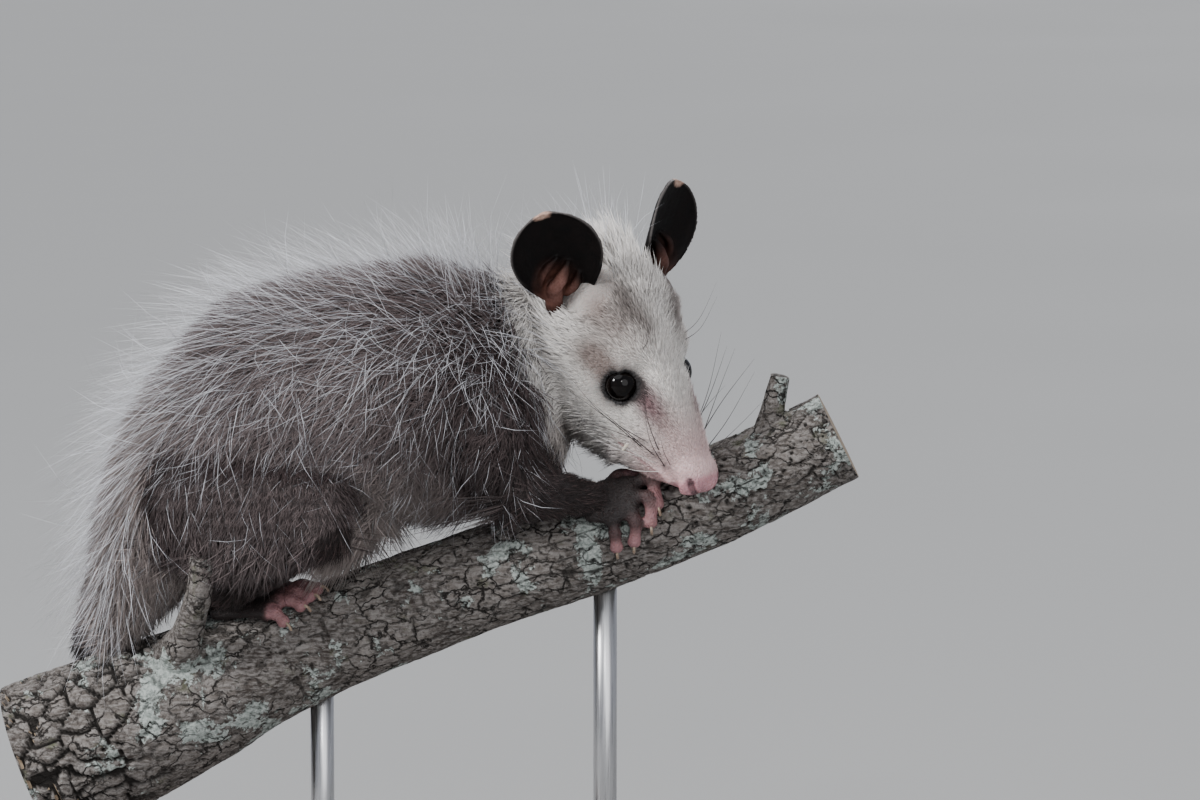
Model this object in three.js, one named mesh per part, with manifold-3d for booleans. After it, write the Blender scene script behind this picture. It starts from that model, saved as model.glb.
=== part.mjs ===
// A young Virginia opossum stepping up a cut length of branch, as a life-size museum model on a plain stand.
// Units are millimetres. +Z is up, +X is the way the branch climbs and the animal walks, and +Y is its left.
// The origin is on the floor under the middle of the stand's base.
import * as THREE from "three";
import { mergeVertices } from "three/addons/utils/BufferGeometryUtils.js";
import Module from "manifold-3d";

const wasm = await Module();
wasm.setup();

// Driving dimensions
const gap = 0.35; // air left between pieces that touch
const perchHeight = 118; // floor to the branch's axis at x = 0, just enough for the hanging tail
const base = { length: 172, width: 104, thick: 12, corner: 16, bevel: 1.6 };
const rod = { radius: 3.2, sides: 14, rearX: -27, frontX: 50 };
const headLength = 76; // nose tip to the back of the skull
const eyeRadius = 4.7;
const ear = { height: 27.5, halfWidth: 12.4, rootHalfWidth: 5.4, thick: 1.1, cup: 6.5 };
const coat = { back: 14, side: 8, belly: 4.5 }; // from the dense underfur out to the tips of the long guard hairs
const tailRadius = { root: 5.4, tip: 1.5 };

// Vectors and angles
const V = (x, y, z) => new THREE.Vector3(x, y, z);
const radians = THREE.MathUtils.degToRad;
const lerp = THREE.MathUtils.lerp;
const smoothstep = THREE.MathUtils.smoothstep;

// Turns a closed geometry into a solid that can be joined and cut
function solidOf(geometry, matrix) {
  const plain = geometry.clone();
  plain.deleteAttribute("normal");
  plain.deleteAttribute("uv");
  if (matrix) plain.applyMatrix4(matrix);
  const merged = mergeVertices(plain, 1e-3);
  const triVerts = new Uint32Array(merged.index.array);
  if (matrix && matrix.determinant() < 0) {
    for (let i = 0; i < triVerts.length; i += 3) {
      [triVerts[i], triVerts[i + 1]] = [triVerts[i + 1], triVerts[i]];
    }
  }
  const vertProperties = merged.attributes.position.array;
  return new wasm.Manifold(new wasm.Mesh({ numProp: 3, vertProperties, triVerts }));
}

// A solid from plain lists of coordinates and corners
function solidFrom(position, index) {
  const geometry = new THREE.BufferGeometry();
  geometry.setAttribute("position", new THREE.Float32BufferAttribute(position, 3));
  geometry.setIndex(index);
  return solidOf(geometry);
}

// Turns a solid back into a geometry
function geometryOf(solid) {
  const mesh = solid.getMesh();
  const geometry = new THREE.BufferGeometry();
  geometry.setAttribute("position", new THREE.BufferAttribute(mesh.vertProperties, 3));
  geometry.setIndex(new THREE.BufferAttribute(mesh.triVerts, 1));
  geometry.computeVertexNormals();
  return geometry;
}

const join = (...solids) => wasm.Manifold.union(solids);

// The largest closed surface of a solid, so that a node holds no loose scrap and no sealed hollow. Corners closer than
// the merging distance become one, which can part a scrap from the rest, so it is done until nothing changes.
function largest(solid) {
  const outer = (pieces) => pieces.reduce((most, piece) => (piece.volume() > most.volume() ? piece : most));
  let kept = outer(solid.decompose());
  for (let round = 0; round < 12; round++) {
    const pieces = solidOf(geometryOf(kept)).decompose();
    const settled = pieces.length === 1 && pieces[0].numTri() === kept.numTri();
    kept = outer(pieces);
    if (settled) break;
  }
  return kept;
}

// The rings of a loft. A station is { at, wide, over, under }: its centre, half width, and height above and below it.
function ringsOf(stations, up) {
  const path = new THREE.CatmullRomCurve3(stations.map((s) => s.at));
  const sizes = new THREE.CatmullRomCurve3(stations.map((s) => V(s.wide, s.over ?? s.wide, s.under ?? s.wide)));
  return (t) => {
    const along = path.getTangent(t);
    const side = V().crossVectors(along, up).normalize();
    const top = V().crossVectors(side, along).normalize();
    return { centre: path.getPoint(t), along, side, top, size: sizes.getPoint(t), t };
  };
}

// A point on a ring, a radians round it from its right side over its top, extra outside it. Full makes the oval squarer.
function ringPoint(ring, a, extra, full = 1) {
  const height = Math.sin(a) > 0 ? ring.size.y : ring.size.z;
  const p = ring.centre.clone();
  p.addScaledVector(ring.side, (ring.size.x + extra) * Math.sign(Math.cos(a)) * Math.abs(Math.cos(a)) ** full);
  p.addScaledVector(ring.top, (height + extra) * Math.sign(Math.sin(a)) * Math.abs(Math.sin(a)) ** full);
  return p;
}

// A closed tube of oval rings with a dome on each end. grow adds the same amount all round, to make room for a neighbour.
function loft(stations, options = {}) {
  const { sides = 16, steps = 12, up = V(0, 0, 1), domes = [0.6, 0.6], domeRings = 2, full = 1, grow = 0, shape } = options;
  const ringAt = ringsOf(stations, up);
  const rings = [];
  for (let i = 0; i <= steps; i++) rings.push({ ...ringAt(i / steps), extra: grow });
  const dome = (end, sign, bulge) => {
    const reach = bulge ? bulge * Math.min(end.size.x, end.size.y, end.size.z) + grow : 0;
    const made = [];
    for (let k = 1; bulge && k <= domeRings; k++) {
      const a = (k / (domeRings + 1)) * (Math.PI / 2);
      const centre = end.centre.clone().addScaledVector(end.along, sign * reach * Math.sin(a));
      made.push({ ...end, centre, size: end.size.clone().multiplyScalar(Math.cos(a)), extra: grow * Math.cos(a) });
    }
    return { rings: made, tip: end.centre.clone().addScaledVector(end.along, sign * reach) };
  };
  const start = dome(rings[0], -1, domes[0]);
  const finish = dome(rings[steps], 1, domes[1]);
  const all = [...start.rings.reverse(), ...rings, ...finish.rings];
  const position = [];
  for (const ring of all) {
    for (let j = 0; j < sides; j++) {
      const a = (j / sides) * 2 * Math.PI;
      const p = ringPoint(ring, a, ring.extra, full);
      if (shape) shape(p, ring, a);
      position.push(p.x, p.y, p.z);
    }
  }
  position.push(start.tip.x, start.tip.y, start.tip.z, finish.tip.x, finish.tip.y, finish.tip.z);
  const first = all.length * sides;
  const index = [];
  for (let i = 0; i + 1 < all.length; i++) {
    for (let j = 0; j < sides; j++) {
      const a = i * sides + j;
      const b = i * sides + ((j + 1) % sides);
      index.push(a, a + sides, b, b, a + sides, b + sides);
    }
  }
  for (let j = 0; j < sides; j++) {
    const next = (j + 1) % sides;
    index.push(first, j, next);
    index.push(first + 1, first - sides + next, first - sides + j);
  }
  return solidFrom(position, index);
}

const station = (x, y, z, wide, over, under) => ({ at: V(x, y, z), wide, over, under });

// A round tube through points, its radius running evenly between the given ones
function tube(points, radii, options = {}) {
  const stations = points.map((at, i) => ({ at, wide: radii[i] }));
  return loft(stations, { sides: 8, steps: 3 * (points.length - 1), ...options });
}

function ball(centre, radius, detail = [14, 10]) {
  const placed = new THREE.Matrix4().makeTranslation(centre.x, centre.y, centre.z);
  return solidOf(new THREE.SphereGeometry(radius, ...detail), placed);
}

// The branch, and the points on it that hands and feet take hold of
const branchStations = [
  [-106, -45, 22.5],
  [-86, -37, 22],
  [-66, -28, 20],
  [-46, -18.5, 17],
  [-24, -9.5, 15.2],
  [0, 0, 14.6],
  [24, 9, 14],
  [50, 17.5, 13.5],
  [76, 27.5, 13.2],
  [100, 39, 12.8],
  [113, 45.5, 12.6],
];
const branchPath = new THREE.CatmullRomCurve3(branchStations.map(([x, z]) => V(x, 0, z)));
const branchSize = new THREE.CatmullRomCurve3(branchStations.map(([, , r]) => V(r, 0, 0)));

function branchAt(x) {
  let low = 0;
  let high = 1;
  for (let i = 0; i < 30; i++) {
    const middle = (low + high) / 2;
    if (branchPath.getPoint(middle).x < x) low = middle;
    else high = middle;
  }
  return { centre: branchPath.getPoint(low), radius: branchSize.getPoint(low).x };
}

// A point over the bark: angle runs from the top of the branch round towards the animal's right, lift is above the bark
function onBranch(x, angle, lift) {
  const { centre, radius } = branchAt(x);
  const a = radians(angle);
  return V(x, -(radius + lift) * Math.sin(a), centre.z + (radius + lift) * Math.cos(a));
}

function makeBranch(grow = 0) {
  const stations = branchStations.map(([x, z, r]) => station(x, 0, z, r));
  const bark = (p, ring, a) => {
    const t = ring.t;
    const rough = 0.35 * Math.sin(5 * a + 21 * t) + 0.3 * Math.sin(3 * a - 47 * t) + 0.25 * Math.sin(83 * t + a);
    p.addScaledVector(p.clone().sub(ring.centre).normalize(), rough - 0.35);
  };
  const stem = loft(stations, { sides: 12, steps: 18, domes: [0, 0], grow, shape: bark });
  const sideTwig = tube([V(-66, -10, -14), V(-62, -20, -5), V(-58, -27, 8), V(-57, -29, 17)],
    [7, 4.6, 3.6, 3.3].map((r) => r + grow), { sides: 8, steps: 6, domes: [0, 0] });
  const topTwig = tube([V(92, 0, 40), V(95, -1, 52), V(97, -2, 62)], [5, 3, 2.6].map((r) => r + grow),
    { sides: 7, steps: 4, domes: [0, 0], up: V(0, 1, 0) });
  return join(stem, sideTwig, topTwig);
}

// The trunk, rump to nape. Each station's sizes reach from the spine's curve out to the dense underfur. The torso and
// the neck are its two lengths, which meet on a plane over the shoulders.
const trunkStations = [
  station(-83, 0, -7, 9, 7.5, 8),
  station(-77, 0, 8, 16, 13, 14),
  station(-67, 0, 27, 24, 20, 24),
  station(-52, 0, 43, 30, 28, 32),
  station(-32, 0, 53, 32, 35, 36),
  station(-12, 0, 57, 32, 35, 36),
  station(6, 0, 58, 30, 35, 35),
  station(20, 2.5, 60, 24, 32, 33),
  station(32, 7, 64, 18, 28, 26),
  station(43, 11.5, 68, 14, 22, 19),
];
const neckStart = 0.73;
const trunkLoft = (grow) => loft(trunkStations, { sides: 18, steps: 15, domes: [0.6, 0.5], grow });

// The length of the trunk in front of the ring where the neck starts, or with sign -1 the length behind it
function trunkLength(sign, grow) {
  const { centre, along } = ringsOf(trunkStations, V(0, 0, 1))(neckStart);
  const facing = along.clone().multiplyScalar(sign);
  return trunkLoft(grow).trimByPlane(facing.toArray(), facing.dot(centre) + gap / 2 - grow);
}
const makeTorsoCore = (grow = 0) => trunkLength(-1, grow);
const makeNeckCore = (grow = 0) => trunkLength(1, grow);

// A small repeatable source of random numbers between 0 and 1
let seed = 7;
function random() {
  seed = (seed * 16807) % 2147483647;
  return seed / 2147483647;
}

// The surface of a loft, for what grows on it: a point t along it and a round it, lifted off it, and the direction out.
// Past an end the surface carries straight on and narrows.
function surfaceOf(stations, up = V(0, 0, 1)) {
  const ringAt = ringsOf(stations, up);
  const speed = (t, a) => {
    const c = THREE.MathUtils.clamp(t, 0.01, 0.99);
    const middle = ringAt(c + 0.01).centre.distanceTo(ringAt(c - 0.01).centre) / 0.02;
    if (a === undefined) return middle;
    const outside = ringPoint(ringAt(c + 0.01), a, 0).distanceTo(ringPoint(ringAt(c - 0.01), a, 0)) / 0.02;
    return Math.max(outside, middle / 2);
  };
  const place = (t, a) => {
    const inside = THREE.MathUtils.clamp(t, 0, 1);
    const ring = ringAt(inside);
    const beyond = (t - inside) * speed(inside);
    ring.centre.addScaledVector(ring.along, beyond);
    ring.size.multiplyScalar(Math.max(0.2, 1 - Math.abs(beyond) / 60));
    return ringPoint(ring, a, 0);
  };
  const outward = (t, a) => {
    const alongIt = place(t + 0.01, a).sub(place(t - 0.01, a));
    const roundIt = place(t, a + 0.02).sub(place(t, a - 0.02));
    return V().crossVectors(alongIt, roundIt).normalize();
  };
  return { speed, ringAt, place, outward };
}

// A flat lock that tapers and bends along the lie of the coat: sunk at its root, then off the surface to its tip.
// lock: t and a of the root, length, width, thick, reach of the tip off the surface, drift down the flank. Its edges are
// sharp, so they are grown more than its faces to leave the same air round them.
const lockShape = [
  { part: 0, lift: -2.6, width: 0.75 },
  { part: 0.36, lift: 0.2, width: 1 },
  { part: 0.7, lift: 0.4, width: 0.68 },
  { part: 1, lift: 1, width: 0 },
];

function makeLock(surface, lock, grow = 0) {
  const down = (-Math.cos(lock.a) * lock.drift) / 30;
  const rows = lockShape.map(({ part, lift, width }) => {
    const t = lock.t - (part * lock.length) / surface.speed(lock.t, lock.a);
    const a = lock.a + part * (down + lock.sway);
    const out = surface.outward(t, a);
    const rise = lift < 0 ? lift : lift * lock.reach * (part > 0.5 ? 1 : 0.3);
    return { centre: surface.place(t, a).addScaledVector(out, rise), out, half: (width * lock.width) / 2, part };
  });
  const sections = rows.map((row, i) => {
    if (row.half === 0) {
      const forward = row.centre.clone().sub(rows[i - 1].centre).normalize();
      return [row.centre.clone().addScaledVector(forward, 3 * grow)];
    }
    const along = rows[i + 1].centre.clone().sub(rows[Math.max(0, i - 1)].centre).normalize();
    const across = V().crossVectors(row.out, along).normalize();
    const thick = lock.thick * (1 - 0.45 * row.part);
    const foot = (edge) => {
      const p = row.centre.clone().addScaledVector(across, edge * (row.half + 4 * grow));
      return p.addScaledVector(row.out, -0.7 - grow);
    };
    return [foot(-1), foot(1), row.centre.clone().addScaledVector(row.out, thick + 1.5 * grow)];
  });
  const lengths = [];
  for (let i = 0; i + 1 < sections.length; i++) {
    lengths.push(wasm.Manifold.hull([...sections[i], ...sections[i + 1]].map((p) => p.toArray())));
  }
  return join(...lengths);
}

// Rows of locks over a surface. zone(t, a) gives each lock's size there, or nothing where none grows.
function combLocks(stations, { from, to, spacing, width, up, thick = 2.1, zone }) {
  const surface = surfaceOf(stations, up);
  const path = new THREE.CatmullRomCurve3(stations.map((s) => s.at));
  const rows = Math.round(((to - from) * path.getLength()) / spacing);
  const locks = [];
  for (let i = 0; i <= rows; i++) {
    const t = path.getUtoTmapping(lerp(from, to, i / Math.max(1, rows)));
    const { size } = surface.ringAt(t);
    const count = Math.max(5, Math.round((Math.PI * (size.x + (size.y + size.z) / 2)) / width));
    for (let j = 0; j < count; j++) {
      const a = ((j + (i % 2) / 2 + 0.25 * (random() - 0.5)) / count) * 2 * Math.PI;
      const size = zone(t, a);
      const wild = random();
      const sway = 0.22 * (random() - 0.5);
      if (size) {
        locks.push({ t, a, width: width * 1.06, thick, sway, ...size,
          length: size.length * lerp(0.85, 1.15, wild), reach: size.reach * lerp(0.75, 1.2, random()) });
      }
    }
  }
  return { surface, locks };
}

// Ways to bend a lock past what is in its way, each a share of its reach and a share of its length
const lockBends = [[1, 1], [0.75, 1], [1.3, 1], [0.5, 1], [1.7, 1], [1, 0.75], [0.6, 0.75], [0.8, 0.55]];

// Bends each lock clear of what is in its way. One that no bend takes past is cut there, if more than half stays rooted.
function placeLocks({ surface, locks }, form, obstacles) {
  const placed = [];
  for (const lock of locks) {
    const bends = lockBends.map(([rise, reach]) => ({ ...lock, reach: lock.reach * rise, length: lock.length * reach }));
    const clear = bends.find((bent) => {
      const room = makeLock(surface, bent, gap);
      return obstacles.every((other) => room.intersect(other).volume() < 1e-6);
    });
    if (clear) {
      placed.push({ solid: makeLock(surface, clear), room: makeLock(surface, clear, gap) });
      continue;
    }
    const whole = makeLock(surface, bends[0]);
    let cut = whole;
    for (const other of obstacles) cut = cut.subtract(other);
    const rooted = cut.decompose().find((piece) => piece.intersect(form).volume() > 3);
    if (rooted && rooted.volume() > 0.5 * whole.volume()) {
      placed.push({ solid: rooted, room: makeLock(surface, bends[0], gap) });
    }
  }
  return placed;
}

// The same locks on a surface that is turned and moved with the head
function intoHead({ surface, locks }) {
  const turn = new THREE.Matrix3().setFromMatrix4(headToBody);
  const turned = {
    speed: surface.speed,
    place: (t, a) => surface.place(t, a).applyMatrix4(headToBody),
    outward: (t, a) => surface.outward(t, a).applyMatrix3(turn),
  };
  return { surface: turned, locks };
}

// How far the tips stand off the surface, by the angle round the body
function reachAt(a) {
  const s = Math.sin(a);
  return s > 0 ? lerp(coat.side, coat.back, s) : lerp(coat.side, coat.belly, -s);
}

// The head's own frame: origin at the nose tip, +X forward, +Y left, +Z towards the crown
const headPose = { nose: V(76.4, -23, 35.4), yaw: 42, pitch: 50, roll: 8 };

function headMatrix() {
  const turn = new THREE.Matrix4().makeRotationZ(radians(-headPose.yaw));
  turn.multiply(new THREE.Matrix4().makeRotationY(radians(headPose.pitch)));
  turn.multiply(new THREE.Matrix4().makeRotationX(radians(headPose.roll)));
  return turn.setPosition(headPose.nose);
}
const headToBody = headMatrix();

const headStations = [
  station(-71, 0, 1, 12, 12, 14),
  station(-64, 0, 2, 17, 18, 19),
  station(-53, 0, 2, 19.5, 20, 23),
  station(-42.5, 0, 2, 16.2, 16.6, 27.2),
  station(-33.5, 0, 1.4, 12.7, 12.2, 27.2),
  station(-25, 0, 0.9, 10.4, 9.4, 23.9),
  station(-16, 0, 0.3, 8.4, 7.2, 18.2),
  station(-8, 0, 0, 6.7, 5.4, 11.1),
  station(-2.7, 0, 0, 5, 4, 5.6),
];
const eyeCentre = { x: -33.5, y: 9.4, z: 2.4 };

// Forms pressed into or raised from the head, each on both sides: place, reach, lift
const headForms = [
  { at: [-44, 15, 10], reach: 14, lift: -1.6 },
  { at: [-36, 10.5, 11], reach: 6, lift: 1.1 },
  { at: [-27, 8, 4.5], reach: 7, lift: -1 },
  { at: [-38, 15, -12], reach: 18, lift: 3.2 },
  { at: [-20, 8, -9], reach: 12, lift: 2.2 },
];

function modelHead(p, ring) {
  const outward = p.clone().sub(ring.centre).normalize();
  for (const form of headForms) {
    for (const side of [-1, 1]) {
      const away = p.distanceTo(V(form.at[0], side * form.at[1], form.at[2])) / form.reach;
      if (away < 1) p.addScaledVector(outward, form.lift * (1 - away * away) ** 2);
    }
  }
}

function makeHeadForm(grow = 0) {
  return loft(headStations, { sides: 22, steps: 18, domes: [0.5, 0.7], full: 0.9, grow, shape: modelHead });
}

// The nose pad with its two slit nostrils
function makeNosePad(grow = 0) {
  const lobe = (side) => tube([V(-5.4, side * 2.6, 0.3), V(-1.4, side * 2.8, -0.7)], [3.7 + grow, 3.5 + grow],
    { sides: 10, steps: 2, domes: [0.8, 0.8] });
  return join(lobe(-1), lobe(1));
}

function makeNostril(side) {
  return tube([V(-1.1, side * 5.2, 1.5), V(0.3, side * 4, -0.4), V(1.1, side * 2.1, -2.1)], [0.5, 0.9, 0.45],
    { sides: 5, steps: 3, domeRings: 1 });
}

// The line of the mouth, a groove from under the nose back to below the eye
function makeMouth() {
  const line = [V(-1, 0, -5.2), V(-5, -5.8, -5.2), V(-11, -7.6, -6.4), V(-19, -9.4, -8.4), V(-25, -11.2, -9.4)];
  const half = (side) => tube(line.map((p) => V(p.x, side * p.y, p.z)), [0.7, 0.8, 0.8, 0.7, 0.4],
    { sides: 5, steps: 7, domes: [0, 0] });
  return join(half(1), half(-1));
}

// The lips, a soft roll either side of that line
function makeLips(grow = 0) {
  const line = [V(-6, -5.3, -5.2), V(-11, -6.9, -6.4), V(-18, -8.6, -8.2), V(-23, -9.8, -9.1)];
  const half = (side) => tube(line.map((p) => V(p.x, side * p.y, p.z)), [1.3, 1.6, 1.6, 0.9].map((r) => r + grow),
    { sides: 6, steps: 5, domeRings: 1 });
  return join(half(1), half(-1));
}

function makeLid(side) {
  const ring = new THREE.TorusGeometry(eyeRadius - 0.3, 1.15, 5, 13);
  const facing = V(0.25, side, 0.42).normalize();
  const centre = V(eyeCentre.x, side * eyeCentre.y, eyeCentre.z).addScaledVector(facing, 1.7);
  const turn = new THREE.Quaternion().setFromUnitVectors(V(0, 0, 1), facing);
  return solidOf(ring, new THREE.Matrix4().compose(centre, turn, V(1, 1, 1)));
}

const makeEye = (side, grow = 0) =>
  ball(V(eyeCentre.x, side * eyeCentre.y, eyeCentre.z), eyeRadius + grow, [13, 8]);

// The tip of the right upper canine, which shows over the lower lip
const makeCanine = (grow = 0) => tube([V(-20.6, -9, -6.8), V(-20.4, -10.4, -8.4), V(-20, -10.8, -10.2)],
  [0.65, 0.55, 0.15].map((r) => r + grow), { sides: 6, steps: 3, domeRings: 1 });

// An ear is a thin cupped leaf. Its frame: origin at the root, +Z up the ear, +X out of the cup, +Y across.
function earPoint(across, up, thickness) {
  const widest = 0.58;
  const outline = up < widest
    ? lerp(ear.rootHalfWidth, ear.halfWidth, Math.sin((up / widest) * Math.PI / 2))
    : ear.halfWidth * Math.sqrt(Math.max(0, 1 - ((up - widest) / (1 - widest)) ** 2));
  const curl = ear.cup * lerp(1, 0.35, up) * (outline / ear.halfWidth) * across * across;
  return V(curl - thickness, outline * across, ear.height * up);
}

function makeEar() {
  const across = 7;
  const rows = 8;
  const position = [];
  const index = [];
  const at = (face, i, j) => face * (rows + 1) * (across + 1) + i * (across + 1) + j;
  for (const face of [0, 1]) {
    for (let i = 0; i <= rows; i++) {
      const up = Math.sin((i / rows) * Math.PI / 2) * 0.995;
      for (let j = 0; j <= across; j++) {
        const edge = Math.abs((2 * j) / across - 1);
        const thin = lerp(1, 0.55, edge ** 3) * lerp(2.2, 1, smoothstep(up, 0, 0.35));
        const p = earPoint((2 * j) / across - 1, up, face * ear.thick * thin);
        position.push(p.x, p.y, p.z);
      }
    }
  }
  for (let i = 0; i < rows; i++) {
    for (let j = 0; j < across; j++) {
      const quad = [at(0, i, j), at(0, i, j + 1), at(0, i + 1, j + 1), at(0, i + 1, j)];
      const back = quad.map((q) => q + at(1, 0, 0));
      index.push(quad[0], quad[1], quad[2], quad[0], quad[2], quad[3]);
      index.push(back[0], back[2], back[1], back[0], back[3], back[2]);
    }
  }
  const rim = [];
  for (let j = 0; j < across; j++) rim.push([at(0, 0, j), at(0, 0, j + 1)]);
  for (let i = 0; i < rows; i++) rim.push([at(0, i, across), at(0, i + 1, across)]);
  for (let j = across; j > 0; j--) rim.push([at(0, rows, j), at(0, rows, j - 1)]);
  for (let i = rows; i > 0; i--) rim.push([at(0, i, 0), at(0, i - 1, 0)]);
  for (const [a, b] of rim) index.push(a, a + at(1, 0, 0), b, b, a + at(1, 0, 0), b + at(1, 0, 0));
  const geometry = new THREE.BufferGeometry();
  geometry.setAttribute("position", new THREE.Float32BufferAttribute(position, 3));
  geometry.setIndex(index);
  return geometry;
}

// The fold inside the cup's root, and the lobe below it
function makeEarFolds(side) {
  const fold = tube([V(0.2, side * -2.2, 1), V(1.8, side * -1.6, 6), V(1, side * 0.6, 11)], [1.8, 2, 0.9],
    { sides: 6, steps: 4, domeRings: 1 });
  const lobe = tube([V(0, side * -1, 0), V(2.6, side * -4.4, 3)], [2, 1.7], { sides: 6, steps: 2, domeRings: 1 });
  return join(fold, lobe);
}

// Where an ear stands on the head, and which way it points and opens. The left ear is turned more to the front.
function earMatrix(side) {
  const root = V(-61, side < 0 ? -14.5 : 12.8, 8);
  const up = V(-0.52, side * (side < 0 ? 0.45 : 0.27), 0.74).normalize();
  const facing = side < 0 ? V(0.43, -0.665, 0.61) : V(0.62, 0.33, 0.71);
  const acrossEar = V().crossVectors(up, facing).normalize();
  const open = V().crossVectors(acrossEar, up).normalize();
  return new THREE.Matrix4().makeBasis(open, acrossEar, up).setPosition(root);
}

// A digit from its knuckle over its bend to a round pad, with a claw where it has one
function makeDigit(points, radii, claw) {
  const finger = tube(points, radii, { sides: 6, steps: 3, domes: [0, 0.9], domeRings: 1 });
  if (!claw) return finger;
  const last = points[points.length - 1];
  const before = points[points.length - 2];
  const forward = last.clone().sub(before).normalize();
  const out = claw.out.clone();
  const from = last.clone().addScaledVector(out, 0.6);
  const middle = from.clone().addScaledVector(forward, claw.length * 0.75).addScaledVector(out, 0.55);
  const tip = from.clone().addScaledVector(forward, claw.length * 1.25).addScaledVector(out, -0.9);
  return join(finger, tube([from, middle, tip], [0.9, 0.65, 0.2], { sides: 4, steps: 2, domes: [0, 0] }));
}

// Outward from the branch's axis at a point
function awayFromBranch(p) {
  const { centre } = branchAt(p.x);
  return V(0, p.y, p.z - centre.z).normalize();
}

// A hand or foot: a sole with its digits, each digit a row of [x, angle, lift] on the branch
function makePaw({ sole, width, digits, clawless = [] }, side) {
  const place = ([x, angle, lift]) => onBranch(x, -side * angle, lift);
  const palm = loft(sole.map((s, i) => ({ at: place(s), wide: width[i], over: 2.6, under: 2.4 })),
    { sides: 8, steps: 3, up: awayFromBranch(place(sole[1])), domes: [0.7, 0.8], domeRings: 1 });
  const fingers = digits.map((row, i) => {
    const points = row.map(place);
    const radii = row.length === 4 ? [2, 1.8, 1.6, 1.75] : [2, 1.7, 1.85];
    const claw = clawless.includes(i) ? null : { length: 2.6, out: awayFromBranch(points[points.length - 1]) };
    return makeDigit(points, radii, claw);
  });
  return join(palm, ...fingers);
}

// Each limb's joints, and its paw. The right limbs are the near ones in the photograph.
const limbs = {
  fore_right: {
    side: -1,
    upper: [station(19, -14, 55, 13, 15, 15), station(22, -20, 44, 12, 12, 12), station(27, -24, 34, 9.5, 9.5, 9.5)],
    lower: [station(27, -24, 34, 9, 9, 9), station(37, -19.5, 32.5, 7.4, 7.4, 7.4), station(47, -14.5, 30.8, 5, 5, 4.8)],
    paw: {
      sole: [[45, 46, 3.6], [51, 46, 3.2], [57, 49, 3]],
      width: [5, 7, 6.8],
      digits: [
        [[49, 28, 2.8], [53.5, 14, 3.4], [58, 12, 2.2]],
        [[56, 34, 2.8], [62.3, 41, 3.8], [64, 66, 2.2]],
        [[56.5, 47, 2.8], [61.5, 58, 3.6], [62.2, 82, 2.2]],
        [[55.5, 60, 2.8], [58, 76, 3.2], [57.8, 95, 2.2]],
        [[52, 66, 2.8], [52.6, 80, 3], [53, 94, 2.2]],
      ],
    },
  },
  fore_left: {
    side: 1,
    upper: [station(12, 14, 52, 13, 15, 15), station(12, 20, 40, 11, 12, 12), station(12, 24, 28, 8, 8, 8)],
    lower: [station(12, 24, 28, 7.5, 7.5, 7.5), station(24, 20, 24, 6.5, 6.5, 6.5), station(34, 15.5, 22, 4.8, 4.8, 4.6)],
    paw: {
      sole: [[33, 52, 3.2], [38, 50, 2.6], [43, 52, 2.6]],
      width: [4.6, 6, 5.8],
      digits: [
        [[37, 34, 2.6], [41, 22, 3.4], [45, 20, 2.2]],
        [[42, 42, 2.8], [48.5, 48, 3.6], [50.5, 72, 2.2]],
        [[42.5, 54, 2.8], [48, 68, 3.4], [49.4, 95, 2.2]],
        [[41.5, 66, 2.8], [44, 86, 3.2], [44.6, 112, 2.2]],
        [[38.5, 72, 2.8], [39.2, 92, 3], [39.6, 114, 2.2]],
      ],
    },
  },
  hind_right: {
    side: -1,
    upper: [station(-60, -13, 36, 17, 19, 19), station(-42, -23, 32, 14, 18, 18), station(-25, -28, 29, 10, 14, 13)],
    lower: [station(-25, -28, 27, 9, 10, 10), station(-38, -21, 16, 8, 8, 8), station(-52, -11, 4, 5.5, 5.5, 5.5)],
    paw: {
      sole: [[-55, 14, 3.6], [-46, 22, 3], [-40, 30, 2.8]],
      width: [4, 5.2, 6],
      digits: [
        [[-49, 4, 2.6], [-44, -16, 3], [-42, -32, 2.2]],
        [[-38, 18, 2.8], [-32, 18, 3.4], [-27.5, 26, 2.2]],
        [[-38, 24, 2.8], [-33, 26, 3.4], [-29.5, 33, 2.2]],
        [[-39, 30, 2.8], [-35, 34, 3.4], [-32, 41, 2.2]],
        [[-41, 37, 2.8], [-38.5, 43, 3.2], [-36.5, 51, 2.2]],
      ],
      clawless: [0],
    },
  },
  hind_left: {
    side: 1,
    upper: [station(-60, 13, 36, 17, 19, 19), station(-44, 23, 31, 14, 18, 18), station(-27, 28, 28, 10, 14, 13)],
    lower: [station(-27, 29, 27, 8.5, 9, 9), station(-42, 22, 14, 7.5, 8, 8), station(-57, 14, 0, 5.5, 5.5, 5.5)],
    paw: {
      sole: [[-60, 26, 3.6], [-51, 32, 3], [-45, 38, 2.8]],
      width: [4, 5.2, 6],
      digits: [
        [[-54, 14, 2.6], [-49, -2, 3], [-46, -14, 2.2]],
        [[-43, 28, 2.8], [-37, 30, 3.4], [-33, 38, 2.2]],
        [[-43, 35, 2.8], [-38, 38, 3.4], [-34.5, 46, 2.2]],
        [[-44, 42, 2.8], [-40, 46, 3.4], [-37, 54, 2.2]],
        [[-46, 48, 2.8], [-43.5, 54, 3.2], [-41.5, 62, 2.2]],
      ],
      clawless: [0],
    },
  },
};

const limbUpHint = V(0, 0.25, 1);
const makeUpperLimb = (limb, grow = 0) => loft(limb.upper, { sides: 11, steps: 5, grow, up: V(1, 0, 0.3), domes: [0.7, 0.8] });
const makeLowerLimb = (limb, grow = 0) => loft(limb.lower, { sides: 9, steps: 4, grow, up: limbUpHint, domes: [0.8, 0.6] });

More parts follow.
